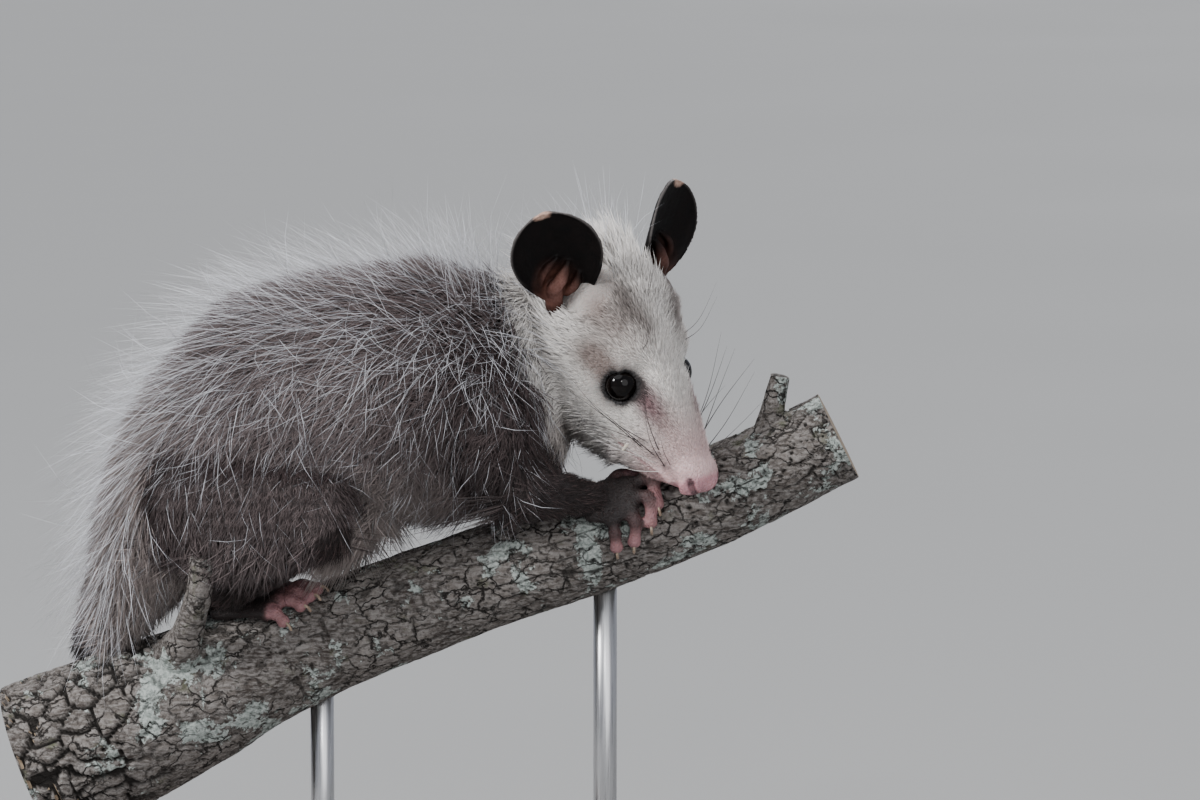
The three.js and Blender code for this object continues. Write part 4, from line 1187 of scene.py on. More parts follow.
def skin_material():
    """Under the fur a matt skin in the coat's own markings, darkened as painted shade between the tufts; bare
    places are creased and a little glossy.
    """
    n = Paint("skin")
    markings = n.attribute("markings", "Color")
    grain = n.noise(900.0, 4.0)
    mottle = n.noise(260.0)
    # Under the fur the skin is darkened: painted shade in the gaps between the tufts
    furred_in_shade = n.mix(1.0, markings, (0.6, 0.58, 0.57), "MULTIPLY")
    flush = n.mix(mottle.ranged(0.35, 0.7, 0.0, 0.5), markings, (0.3, 0.15, 0.17))
    naked = n.mix(n.attribute("pink"), markings, flush)
    colour = n.shaded(n.mix(n.attribute("bare"), furred_in_shade, naked), grain.ranged(0.3, 0.7, 0.86, 1.1))
    rough = n.attribute("wet").ranged(0.0, 1.0, 0.62, 0.24) + grain.ranged(0.3, 0.7, -0.05, 0.08)
    scales = n.cells(1050.0).ranged(0.0, 0.28)
    leather = n.cells(1900.0, feature="SMOOTH_F1") * -1.0
    tail = n.attribute("tail_skin")
    height = scales * tail + leather * n.math("SUBTRACT", 1.0, tail) + mottle * 0.6
    return n.finish(
        colour, rough, height, 0.00036, 0.9, Specular_IOR_Level=0.45,
        Subsurface_Weight=0.12, Subsurface_Radius=(1.0, 0.4, 0.25), Subsurface_Scale=0.0015,
    )


def ear_material():
    """Thin dark leather with fine creases and veins, brownish pink on the folds with a painted highlight
    along their tops, pale at the tip.
    """
    n = Paint("ear_leather")
    mottle = n.noise(320.0, 5.0, 0.6)
    fine = n.noise(1500.0)
    dark = n.two_tones(mottle, 0.3, 0.75, (0.0012, 0.0009, 0.001), (0.005, 0.003, 0.0028))
    cup = n.two_tones(mottle, 0.3, 0.7, (0.022, 0.008, 0.006), (0.095, 0.038, 0.027))
    # A lighter tone on the tops of the folds: a painted highlight
    ridge = n.two_tones(fine, 0.3, 0.7, (0.15, 0.065, 0.052), (0.27, 0.14, 0.12))
    tip = n.two_tones(fine, 0.3, 0.7, (0.36, 0.22, 0.17), (0.52, 0.36, 0.29))
    edge = n.attribute("pale") + mottle.ranged(0.3, 0.7, -0.3, 0.3)
    colour = n.mix(n.attribute("warm"), dark, cup)
    colour = n.mix(n.attribute("ridge"), colour, ridge)
    colour = n.mix(n.attribute("rim") * 0.5, colour, (0.16, 0.145, 0.14))
    colour = n.mix(edge.ranged(0.3, 0.9), colour, tip)
    veins = n.cells(260.0).ranged(0.0, 0.12, 1.0, 0.0)
    return n.finish(colour, mottle.ranged(0.3, 0.7, 0.5, 0.68), veins * 0.35 + fine, 0.00012, 0.6,
                    Specular_IOR_Level=0.12)


def bark_material():
    """Grey-brown bark in small plates, the cracks between them painted nearly black as shade, and crusts of
    pale lichen with crisp edges.
    """
    n = Paint("lichened_bark")
    coarse = n.noise(95.0, 6.0, 0.62)
    fine = n.noise(900.0, 8.0, 0.7)
    grain = n.noise(1300.0, 4.0, at=n.place(0.3, 1, 1))
    shift = n.noise(210.0, 4.0, output="Color")
    warped = n.add("ShaderNodeVectorMath", {0: shift, 1: (0.006, 0.006, 0.006), 2: n.place()},
                   operation="MULTIPLY_ADD")
    split = n.cells(240.0, n.scaled(warped, 0.55, 1, 1)).ranged(0.01, 0.07, 1.0, 0.0)
    split = split * coarse.ranged(0.42, 0.58, 0.15, 1.0)
    # How deep each place is in a crack, which sets the painted shade there
    depth = n.math("MAXIMUM", n.attribute("crack"), split * 0.9)
    wood = n.two_tones(coarse, 0.36, 0.64, (0.048, 0.038, 0.033), (0.2, 0.178, 0.162))
    wood = n.mix(grain.ranged(0.4, 0.62, 0, 0.7), wood, (0.3, 0.28, 0.265))
    wood = n.mix(fine.ranged(0.5, 0.36, 0, 0.75), wood, (0.035, 0.028, 0.024))
    cover = n.noise(74.0, 8.0, 0.62, 0.3) + fine.ranged(0.3, 0.7, -0.05, 0.05)
    cover = cover.ranged(0.555, 0.57)
    crust = n.two_tones(fine, 0.38, 0.62, (0.2, 0.235, 0.215), (0.52, 0.56, 0.53))
    colour = n.mix(n.noise(150.0, 4.0).ranged(0.6, 0.7, 0, 0.5), wood, (0.1, 0.115, 0.06))
    colour = n.mix(cover * 0.88, colour, crust)
    # The cracks painted nearly black: painted shade in the hollows
    colour = n.mix(depth.ranged(0.1, 0.75, 0.0, 0.93), colour, (0.008, 0.0065, 0.0055))
    height = fine + grain * 0.6 + cover * 0.3 - split
    return n.finish(colour, fine.ranged(0.3, 0.7, 0.78, 0.95), height, 0.0009, 0.9, Specular_IOR_Level=0.2)


def cut_wood_material():
    """The branch's sawn ends, with a ring of growth every two millimetres or so."""
    n = Paint("sawn_end")
    rings_per_metre = 450.0
    waver = n.noise(140.0, 4.0).ranged(0.3, 0.7, -0.0006, 0.0006)
    ring = n.math("POWER", n.math("FRACT", (n.attribute("radius") + waver) * rings_per_metre), 3.0)
    grain = ring * -0.45 + n.noise(1500.0, 4.0)
    colour = n.two_tones(grain, 0.1, 0.7, (0.13, 0.088, 0.055), (0.34, 0.26, 0.175))
    return n.finish(colour, grain.ranged(0.1, 0.7, 0.6, 0.75), grain, 0.0002, 0.5)


def stand_wood_material():
    n = Paint("dark_walnut")
    figure = n.noise(120.0, 6.0, 0.6, 1.2, at=n.place(0.12, 1, 1))
    pores = n.noise(1400.0, at=n.place(0.06, 1, 1))
    colour = n.two_tones(figure, 0.3, 0.7, (0.022, 0.012, 0.008), (0.085, 0.045, 0.026))
    colour = n.mix(pores.ranged(0.62, 0.72, 0, 0.7), colour, (0.01, 0.006, 0.004))
    return n.finish(colour, figure.ranged(0.3, 0.7, 0.28, 0.4), pores, 0.0001, 0.4,
                    Coat_Weight=0.3, Coat_Roughness=0.2)


def hair_material(name, dark, pale):
    n = Paint(name)
    grain = n.noise(300.0, 2.0)
    return n.finish(n.mix(grain, dark, pale), grain.ranged(0.3, 0.7, 0.35, 0.5), grain, 0.00002, 0.2)


def plain_material(name, scale, dark, pale, rough, bumps, stretch=(1, 1, 1), **rest):
    """One fine grain between two tones, with its roughness from and to, and its bumps' depth and strength."""
    n = Paint(name)
    grain = n.noise(scale, at=n.place(*stretch))
    colour = n.two_tones(grain, 0.3, 0.7, dark, pale)
    return n.finish(colour, grain.ranged(0.3, 0.7, *rough), grain, *bumps, **rest)


def steel_material():
    return plain_material(
        "brushed_steel", scale=2600.0, dark=(0.42, 0.42, 0.43), pale=(0.6, 0.6, 0.61), rough=(0.24, 0.38),
        bumps=(0.00004, 0.4), stretch=(1, 1, 0.02), Metallic=1.0,
    )


def claw_material():
    return plain_material(
        "claw_horn", scale=900.0, dark=(0.17, 0.115, 0.08), pale=(0.36, 0.28, 0.21), rough=(0.28, 0.42),
        bumps=(0.00005, 0.4), Subsurface_Weight=0.1, Subsurface_Scale=0.001,
    )


def tooth_material():
    return plain_material(
        "tooth_enamel", scale=700.0, dark=(0.6, 0.52, 0.4), pale=(0.76, 0.7, 0.58), rough=(0.15, 0.25),
        bumps=(0.00003, 0.3),
    )


def eye_material():
    """Nearly black and very smooth."""
    return plain_material(
        "eye_glass", scale=700.0, dark=(0.001, 0.0008, 0.001), pale=(0.004, 0.0025, 0.002),
        rough=(0.02, 0.04), bumps=(0.00002, 0.05), Specular_IOR_Level=0.28, IOR=1.38,
    )


def floor_material():
    return plain_material(
        "studio_floor", scale=3.0, dark=(0.3, 0.3, 0.298), pale=(0.325, 0.325, 0.322), rough=(0.75, 0.85),
        bumps=(0.0001, 0.1),
    )


# The pieces

limb_parts = ("upper_arm", "forearm", "hand", "thigh", "shank", "foot")
flesh_nodes = ["torso", "neck", "head", "tail_root", "tail_upper", "tail_middle", "tail_lower", "tail_tip"]
flesh_nodes += [f"{part}_{word}" for word in side_words.values() for part in limb_parts]


def make_skin(settings):
    points, triangles = build_skin(settings.cell * 1000, settings.fineness)
    normals, area = normals_of(points, triangles)
    fields = describe(points, normals)
    made["skin"] = {
        "points": points, "triangles": triangles, "normals": normals, "area": area, "fields": fields,
    }
    h = to_head(points)
    wet = ramp(h[:, 0] - 0.4 * h[:, 2], -3.5, -0.5) * (fields["head"] > 0.3)
    return triangle_piece(
        "skin", points, triangles, [skin_material()],
        floats={"bare": fields["bare"], "pink": fields["pink"], "wet": wet, "tail_skin": fields["tail_skin"]},
        colours={"markings": fields["markings"]},
        uvs={"OFBake": fields["bake"][triangles].reshape(-1, 2)},
    )


ear_height = 27.5
ear_half_width = 12.4
ear_root_half_width = 5.4
ear_cup = 6.5
ear_widest = 0.58

# The box in the leaf's own frame that an ear is modelled in, its cells, and how far distances are kept
ear_box = ((-7, -15, -8), (10, 15, 30))
ear_cell = 0.3
ear_band = 1.8

# The folds inside the ear's cup, each a line and its radii, in the leaf's own frame
ear_folds = (
    ([(0.3, 4.4, 1.0), (2.2, 3.4, 4.0), (2.4, 0.6, 7.0), (0.8, -2.4, 10.5)], [1.7, 2.0, 1.6, 0.7]),
    ([(0.3, 6.8, 4), (1.6, 6.4, 7.5), (1.7, 3.8, 10.8), (0.6, 0.2, 12.6)], [0.9, 1.1, 1.0, 0.5]),
    ([(0.3, 0.2, 0.5), (1.5, -2.6, 3.5), (1.2, -4.2, 6.5)], [1.6, 1.3, 0.6]),
    ([(0.8, 3.0, 3.0), (2.0, 4.6, -0.5), (1.6, 5.2, -4.0)], [1.9, 2.4, 1.6]),
)


def ear_matrix(side):
    """The leaf's frame: x out of its cup, y across it, and z from its root to its tip."""
    root = np.array([-61, -14.5 if side < 0 else 12.8, 8])
    up = unit(np.array([-0.52, side * (0.45 if side < 0 else 0.27), 0.74]))
    facing = np.array([0.43, -0.665, 0.61]) if side < 0 else np.array([0.62, 0.33, 0.71])
    across = unit(np.cross(up, facing))
    local = np.eye(4)
    local[:3] = columns(unit(np.cross(across, up)), across, up, root)
    return head_matrix @ local


def ear_leaf(across, up, back):
    """A point of the ear's leaf: across from -1 to 1, up from 0 to 1, back from the inner face."""
    low = blend(ear_root_half_width, ear_half_width, np.sin(np.clip(up / ear_widest, 0, 1) * math.pi / 2))
    high = ear_half_width * np.sqrt(np.clip(1 - ((up - ear_widest) / (1 - ear_widest)) ** 2, 0, 1))
    outline = np.where(up < ear_widest, low, high)
    curl = ear_cup * blend(1, 0.35, up) * (outline / ear_half_width) * across * across
    rim = 0.35 * np.exp(-((np.abs(across) - 0.93) / 0.06) ** 2)
    return np.stack([curl - back + rim, outline * across, ear_height * up], -1)


def ear_sheet(count=60):
    """The leaf as a closed sheet: its inner face, its outer face and the rim between them."""
    rise = np.sin(np.linspace(0, 1, count) * math.pi / 2) * 0.998
    up, across = np.meshgrid(rise, np.linspace(-1, 1, count), indexing="ij")
    thickness = blend(1.05, 0.7, np.abs(across) ** 3) * blend(2.2, 1, ramp(up, 0, 0.35))
    points = np.vstack([ear_leaf(across, up, back).reshape(-1, 3) for back in (0 * up, thickness)])
    i, j = grid_of(count - 1, count - 1)
    a = i * count + j
    quads = columns(a, a + 1, a + count + 1, a + count)
    index = np.arange(count * count).reshape(count, count)
    border = np.concatenate([index[0, :-1], index[:-1, -1], index[-1, :0:-1], index[:0:-1, 0]])
    after = np.roll(border, -1)
    rim = columns(border, border + count * count, after + count * count, after)
    return points, split_quads(np.vstack([quads, quads[:, ::-1] + count * count, rim]))


def make_ear(side):
    volume = Volume(*ear_box, ear_cell, ear_band)
    volume.put(*ear_sheet(), 0.3)
    for line, radii in ear_folds:
        volume.put(*tube([mirrored(p, side) for p in line], radii, up=(1, 0, 0)).mesh(24, 20), 1.0)
    points, triangles = volume.surface(0.0)
    wrinkle = smooth_noise(points * (1, 1, 0.45), 1.6, 31) * 0.1 + smooth_noise(points, 0.8, 32) * 0.05
    points = points + normals_of(points, triangles)[0] * wrinkle[:, None]
    x, y, z = points.T
    above = x - ear_leaf(y / ear_half_width, np.clip(z / ear_height, 0, 1), 0)[:, 0]
    radius = np.hypot(y, (z - 0.56 * ear_height) * 1.02)
    warm = np.clip(bump_at(points, (2, side * 2.6, 3.5), (9, 8, 11)) * 1.5, 0, 1)
    # The left ear's cup gets less of its warm colour: painted shade inside it
    warm = warm * ramp(x, -1.2, 0.2) * (1.0 if side < 0 else 0.4)
    # How far the folds rise, which sets the painted highlight on their tops
    ridge = warm * ramp(above, 1.3, 2.8) * (0.65 + 0.5 * smooth_noise(points, 2.5, 33))
    floats = {
        "pale": bump_at(points, (1.5, side * 1.0, ear_height), (6, 4.4, 3.0)) * 1.4,
        "warm": warm,
        "ridge": np.clip(ridge * ramp(z, -2, 4), 0, 0.8),
        "rim": ramp(radius, ear_half_width - 0.8, ear_half_width) * ramp(z, 8, 14),
    }
    word = side_words[side]
    points = placed(points, ear_matrix(side))
    piece = triangle_piece("ear_leaf_" + word, points, triangles, [made["ear_material"]], floats=floats)
    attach(piece, "root")
    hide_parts("ear_" + word)


def make_eye(side):
    """A smooth eyeball whose front bulges a little, like a real cornea."""
    rows = 40
    count = 72
    polar = np.linspace(0, math.pi, rows + 1)[1:-1]
    turn = np.arange(count) / count * 2 * math.pi
    x = np.outer(np.sin(polar), np.cos(turn))
    y = np.outer(np.sin(polar), np.sin(turn))
    z = np.repeat(np.cos(polar)[:, None], count, axis=1)
    sphere = np.vstack([np.stack([x, y, z], -1).reshape(-1, 3), (0, 0, 1), (0, 0, -1)])
    bulge = 1 + 0.035 * ramp(sphere[:, 2], 0.45, 0.95)
    facing = mirrored(eye_facing, side)
    sidewards = unit(np.cross((0, 0, 1), facing))
    over = np.cross(facing, sidewards)
    local = sphere * bulge[:, None] * eye_radius
    points = local[:, :1] * sidewards + local[:, 1:2] * over + local[:, 2:] * facing
    points = from_head(points + mirrored(eye_centre, side))
    word = side_words[side]
    piece = triangle_piece("eyeball_" + word, points, tube_faces(rows - 1, count), [made["eye_material"]])
    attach(piece, "root")
    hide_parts("eye_" + word)


def joined_tubes(forms):
    """Several closed tubes as one mesh's points and triangles."""
    starts = np.cumsum([0] + [len(points) for points, _ in forms])
    all_triangles = [triangles + start for (_, triangles), start in zip(forms, starts)]
    return np.vstack([points for points, _ in forms]), np.vstack(all_triangles)


def make_canine():
    line = [from_head(np.array(p)) for p in ((-20.6, -8.8, -6.4), (-20.4, -9.9, -8.0), (-20.1, -10.3, -9.3))]
    points, triangles = tube(line, [0.65, 0.5, 0.16], domes=(0.5, 0.9)).mesh(20, 20)
    piece = triangle_piece("canine", points, triangles, [tooth_material()])
    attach(piece, "root")
    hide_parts("canine_right")


def make_claws():
    """A claw on each digit, apart from the hind feet's thumbs."""
    forms = []
    for name, limb in limbs.items():
        first = 1 if name.startswith("hind") else 0
        for row in limb["digits"][first:]:
            points = limb_points(limb, row)
            forward = unit(points[-1] - points[-2])
            out = off_branch(points[-1])
            start = points[-1] + out * 0.7 + forward * 0.9
            middle = start + forward * 1.2 + out * 0.35
            tip = start + forward * 2.1 - out * 0.7
            stations = [(*start, 0.45, 0.65, 0.65), (*middle, 0.3, 0.45, 0.45), (*tip, 0.07, 0.09, 0.09)]
            forms.append(Form(stations, up=out, domes=(0.4, 1.0)).mesh(14, 14))
    points, triangles = joined_tubes(forms)
    piece = triangle_piece("claws", points, triangles, [claw_material()])
    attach(piece, "root")


def fur_roots(density, seed):
    """Scattered roots, how many there are, and the random draws for what grows there."""
    roots = scatter(made["skin"], density, seed)
    return roots, len(roots["root"]), np.random.default_rng(seed + 1)


def make_underfur(settings):
    f = made["skin"]["fields"]
    density = (1 - f["bare"]) * (
        f["trunk"] * 2.45 + f["upper"] * 2.9 + f["lower"] * 3.6 + f["paw"] * 2.6 + f["tail_fur"] * 3
        + f["back_of_head"] * 1.6 + f["fringe"] * 3
    ) * settings.density
    density *= 1 - ramp(f["head"] * (1 - f["back_of_head"]), 0.3, 0.8)
    density *= 1 - ramp(f["face"], 0.2, 0.7)
    roots, count, rng = fur_roots(density, 101)
    length = roots["length"] * rng.uniform(0.7, 1.2, count)
    woolly = ramp(roots["length"], 4, 10)
    pale = (1 + 5 * rng.random(count) ** 5 * (roots["lower"] + roots["paw"]))[:, None]
    roots["markings"] = roots["markings"] * pale
    hanging = (13 * roots["fringe"] + 8 * roots["thigh"]) * ramp(-roots["height"], 0.1, 0.8)
    shape = {
        "length": length,
        "rise": roots["rise"] * rng.uniform(0.65, 1.25, count) + hanging * rng.random(count) ** 0.7,
        "flat": 0.75,
        "sink": 0.8,
        "turn": rng.normal(0, 1, count) * blend(0.16, 0.38, woolly),
        "sway": rng.normal(0, 0.14, count) * length,
        "droop": (0.05 + 1.1 * roots["fringe"]) * length,
        "width": np.clip(0.045 * length, 0.2, 0.48) * rng.uniform(0.7, 1.25, count),
        "thick": 0.5,
    }
    shape["pull"] = clump_pull(roots, shape, 3.6, 0.6, 103) + clump_pull(roots, shape, 1.6, 0.25, 105)
    # Roots darkened as painted shade deep in the coat, tips a little lighter
    material = fur_material("underfur", 0.55, 1.2, 0.24)
    return coat_pieces("underfur", roots, shape, (0, 0.5, 1), (1, 0.9, 0), material, 104)


def make_face_fur(settings):
    f = made["skin"]["fields"]
    head = np.clip(f["head"] + f["face"] * f["trunk"], 0, 1) * (1 - f["bare"])
    density = head * blend(7.5, 3.2, ramp(f["length"], 3.5, 9)) * settings.density
    roots, count, rng = fur_roots(density, 201)
    length = roots["length"] * rng.uniform(0.7, 1.25, count)
    stray = rng.random(count) ** 6
    back = roots["back_of_head"] * (1 - 0.6 * roots["face"])
    rise = np.maximum(roots["rise"] * rng.uniform(0.5, 1.1, count), 0.1) + 0.3 * stray * length
    shape = {
        "length": length * (1 - 0.25 * back),
        "rise": rise + (back * 4.5 + roots["crest"] * 6.5) * rng.random(count),
        "flat": 0.6,
        "sink": 0.35,
        "turn": rng.normal(0, 0.2, count),
        "sway": rng.normal(0, 0.08, count) * length,
        "droop": 0.35 * roots["jaw"] * length,
        "width": np.clip(0.06 * length, 0.15, 0.34) * rng.uniform(0.75, 1.25, count),
        "thick": 0.45,
    }
    shape["pull"] = clump_pull(roots, shape, 1.7, 0.28, 203)
    # Roots darkened as painted shade deep in the coat, tips a little lighter
    material = fur_material("face_fur", 0.7, 1.06, 0.2)
    return coat_pieces("face_fur", roots, shape, (0, 0.5, 1), (1, 0.8, 0), material, 204)


def make_guard_hairs(settings):
    """The long pale hairs that stand out of the coat on the back, neck, crown and upper limbs."""
    f = made["skin"]["fields"]
    neck = f["trunk"] * ramp(f["trunk_t"], 0.55, 0.8)
    density = (1 - f["bare"]) * (
        f["trunk"] * 0.36 + neck * 0.24 + f["thigh"] * 0.1 + f["arm"] * 0.18
        + f["back_of_head"] * 1.3 + f["crest"] * 2.2 + f["tail_fur"] * 0.3
    ) * settings.density
    density *= blend(0.6, 1.4, ramp(f["over"], -0.6, 0.9)) * (1 - 0.85 * ramp(f["face"], 0.2, 0.8))
    roots, count, rng = fur_roots(density, 301)
    over = ramp(roots["over"], -0.2, 0.95)
    neck = ramp(roots["trunk_t"], 0.55, 0.8) * roots["trunk"]
    crown = roots["back_of_head"]
    nape = np.clip(neck * over + crown, 0, 1)
    limb = roots["thigh"] + roots["arm"]
    length = (blend(17, 32, over) * roots["trunk"] + 14 * limb + 15 * crown) * rng.uniform(0.45, 1.2, count)
    reach = blend(7, 16, over) * roots["trunk"] + 4 * limb + 15 * crown
    strength = rng.uniform(0, 1, count) ** 1.6
    shape = {
        "length": length * blend(1.0, 0.6, nape),
        "rise": reach * rng.uniform(0.35, 1.2, count) * blend(1.0, 1.25, nape),
        "flat": 0.25,
        "sink": 0.8,
        "turn": rng.normal(0, 1, count) * blend(0.58, 0.9, np.clip(neck + crown, 0, 1)),
        "sway": rng.normal(0, 0.3, count) * length,
        "droop": 0.15 * length * (1 - over),
        "width": blend(0.08, 0.19, strength),
        "thick": 0.8,
        "pull": 0.0,
    }
    wool = np.broadcast_to(tones["wool"], roots["markings"].shape)
    roots["markings"] = mix(wool, tones["guard"], blend(0.45, 1.0, strength))
    # Roots darkened as painted shade deep in the coat, tips a little lighter
    material = fur_material("guard_hairs", 0.8, 1.02, 0.2, 0.4)
    return coat_pieces("guard_hairs", roots, shape, (0, 0.3, 0.64, 1), (1, 0.85, 0.6, 0), material, 304)


# Each whisker's root, middle and tip on the head's left, its width at the root and its tone
whisker_lines = [
    ((-15.5, 7.4, -4.6), (-26, 17, -1), (-39, 26, -1), 0.36, "dark"),
    ((-13.0, 6.9, -3.2), (-22, 17, 1.5), (-31, 26, 8), 0.36, "dark"),
    ((-11.5, 6.6, -4.6), (-18, 13, -5), (-29, 19, -8), 0.26, "pale"),
    ((-9.5, 6.2, -3.0), (-15, 12.5, 4), (-24, 17, 14), 0.3, "dark"),
    ((-17.5, 7.9, -3.2), (-24, 16, -3.5), (-31, 25, -6), 0.32, "dark"),
    ((-9.0, 6.0, -4.8), (-13, 12, -8), (-22, 17, -15), 0.24, "pale"),
    ((-14.0, 7.2, -6.0), (-22, 14, -9), (-34, 18, -14), 0.24, "pale"),
    ((-37.0, 7.0, 11.5), (-37, 8, 18), (-43, 9, 25), 0.22, "dark"),
    ((-38.5, 7.8, 11.5), (-40, 10, 17), (-47, 13, 23), 0.22, "dark"),
    ((-12.0, 6.8, -1.6), (-21, 11, 6), (-31, 13, 16), 0.3, "dark"),
    ((-8.4, 5.6, -1.6), (-11, 11, 5), (-16, 17, 15), 0.24, "dark"),
    ((-16.5, 7.8, -1.8), (-28, 18, -1), (-42, 26, 2), 0.3, "dark"),
    ((-44.0, 16.0, -7.0), (-50, 24, -8), (-60, 29, -12), 0.15, "pale"),
    ((-43.0, 16.0, -10.0), (-48, 23, -13), (-56, 27, -19), 0.15, "pale"),
    ((-28.0, 9.5, -16.0), (-31, 14, -22), (-37, 16, -28), 0.12, "pale"),
]
whisker_tones = {
    "dark": ((0.012, 0.009, 0.009), (0.04, 0.03, 0.03)),
    "pale": ((0.5, 0.47, 0.44), (0.72, 0.7, 0.68)),
}
whisker_points = 18
whisker_sides = 6


def whisker_tree():
    """Sweeps a tapering hair along each curve."""
    tree, given, results = new_tree(
        "hair sweep", "GeometryNodeTree",
        {"Geometry": "Geometry", "Sides": "Int", "Material": "Material"}, {"Geometry": "Geometry"},
    )
    ring = tree.nodes.new("GeometryNodeCurvePrimitiveCircle")
    ring.inputs["Radius"].default_value = 1.0
    sweep = tree.nodes.new("GeometryNodeCurveToMesh")
    sweep.inputs["Fill Caps"].default_value = True
    radius = tree.nodes.new("GeometryNodeInputRadius")
    whole = tree.nodes.new("GeometryNodeRealizeInstances")
    finished = tree.nodes.new("GeometryNodeSetMaterial")
    if "Scale" in sweep.inputs:
        tree.links.new(radius.outputs["Radius"], sweep.inputs["Scale"])
    for output, target in (
        (given["Sides"], ring.inputs["Resolution"]),
        (given["Geometry"], sweep.inputs["Curve"]),
        (ring.outputs["Curve"], sweep.inputs["Profile Curve"]),
        (sweep.outputs["Mesh"], whole.inputs["Geometry"]),
        (whole.outputs["Geometry"], finished.inputs["Geometry"]),
        (given["Material"], finished.inputs["Material"]),
        (finished.outputs["Geometry"], results["Geometry"]),
    ):
        tree.links.new(output, target)
    return tree


def apply_tree(source, tree, values, name):
    """The source with the tree's result as a plain mesh object. The source goes."""
    modifier = source.modifiers.new("shape", "NODES")
    modifier.node_group = tree
    for item in tree.interface.items_tree:
        if item.in_out == "INPUT" and item.name in values:
            modifier[item.identifier] = values[item.name]
    depsgraph = bpy.context.evaluated_depsgraph_get()
    mesh = bpy.data.meshes.new_from_object(source.evaluated_get(depsgraph))
    mesh.name = name
    piece = new_object(name, mesh)
    bpy.data.objects.remove(source)
    return piece


def whisker_curve(line, side, shake):
    """Points along a whisker. On the left they bend out a little more."""
    wider = np.outer((0, 2, 6), (0.3, 1, 0.3)) * (side > 0)
    places = [from_head(mirrored(p + w, side)) for p, w in zip(np.array(line[:3]), wider)]
    places[2] = places[2] + shake
    return curve_through(places)(np.linspace(0, 1, whisker_points))


def make_whiskers():
    rng = np.random.default_rng(401)
    tree = whisker_tree()
    taper = 1 - np.linspace(0, 1, whisker_points) ** 0.9 * 0.9
    for kind, (dark, pale) in whisker_tones.items():
        curves = bpy.data.curves.new("whisker_lines_" + kind, "CURVE")
        curves.dimensions = "3D"
        for side in sides:
            for line in whisker_lines:
                if line[4] != kind:
                    continue
                points = to_metres(whisker_curve(line, side, rng.normal(0, 1.0, 3)))
                spline = curves.splines.new("POLY")
                spline.points.add(whisker_points - 1)
                spline.points.foreach_set("co", np.column_stack([points, np.ones(whisker_points)]).ravel())
                spline.points.foreach_set("radius", line[3] / 2 * taper / 1000)
        source = new_object("whisker_lines_" + kind, curves)
        material = hair_material("whisker_" + kind, dark, pale)
        values = {"Sides": whisker_sides, "Material": material}
        piece = apply_tree(source, tree, values, "whiskers_" + kind)
        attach(piece, "root")


def cell_distance(u, v, seed):
    """How far each place is from the border between random cells, about one unit across."""
    cells = 64
    table = np.random.default_rng(seed).random((cells, cells, 2))
    near = np.full(len(u), 9.0)
    next_near = np.full(len(u), 9.0)
    i = np.floor(u).astype(int)
    j = np.floor(v).astype(int)
    for di in (-1, 0, 1):
        for dj in (-1, 0, 1):
            centre = table[(i + di) % cells, (j + dj) % cells]
            away = np.hypot(i + di + centre[:, 0] - u, j + dj + centre[:, 1] - v)
            next_near = np.minimum(next_near, np.maximum(near, away))
            near = np.minimum(near, away)
    return next_near - near


def barked_tube(form, steps, count, plate, depth, seed):
    """A branch's mesh with plates of bark, and how deep each point is in a crack between them."""
    points, triangles = form.mesh(steps, count)
    t, a, _, _ = form.locate(points, 200)
    centre, _, _, _, sizes = form.rings(t)
    run = t * np.linalg.norm(np.diff(form.path(np.linspace(0, 1, 200)), axis=0), axis=1).sum()
    plates = round(2 * math.pi * sizes[:, 0].mean() / plate[1])
    girth = a / (2 * math.pi) * plates
    girth = np.where(girth < 0, girth + plates, girth)
    warp = smooth_noise(points, 9, seed)
    fine_warp = smooth_noise(points, 3, seed + 1)
    u = run / plate[0] + 0.45 * warp + 0.12 * fine_warp
    v = girth + 0.4 * smooth_noise(points, 8, seed + 2) + 0.12 * fine_warp
    border = cell_distance(u, v, seed + 3)
    small = cell_distance(u * 2.7 + 0.2 * fine_warp, v * 2.2, seed + 4)
    rough = 0.5 + 0.5 * smooth_noise(points, 26, seed + 5)
    deep = ramp(-points[:, 0], 62, 84)
    crack = (1 - ramp(border, 0.01, blend(0.1, 0.2, deep))) * blend(0.3, 1.0, np.maximum(rough, deep))
    crack = np.maximum(crack, 0.45 * (1 - ramp(small, 0.0, 0.08)) * rough)
    swell = 0.5 * smooth_noise(points, 18, seed + 6) + 0.22 * smooth_noise(points, 5, seed + 7)
    swell = swell + 0.1 * smooth_noise(points, 1.6, seed + 8)
    ends = ramp(t, 0, 0.004) * ramp(-t, -1, -0.996)
    sunk = depth * crack * (1 + 0.8 * deep)
    return points + unit(points - centre) * ((swell - sunk) * ends)[:, None], triangles, crack


def face_vectors(mesh, name):
    """A measure of every face, such as its normal or centre, as rows."""
    values = np.zeros(len(mesh.polygons) * 3)
    mesh.polygons.foreach_get(name, values)
    return values.reshape(-1, 3)


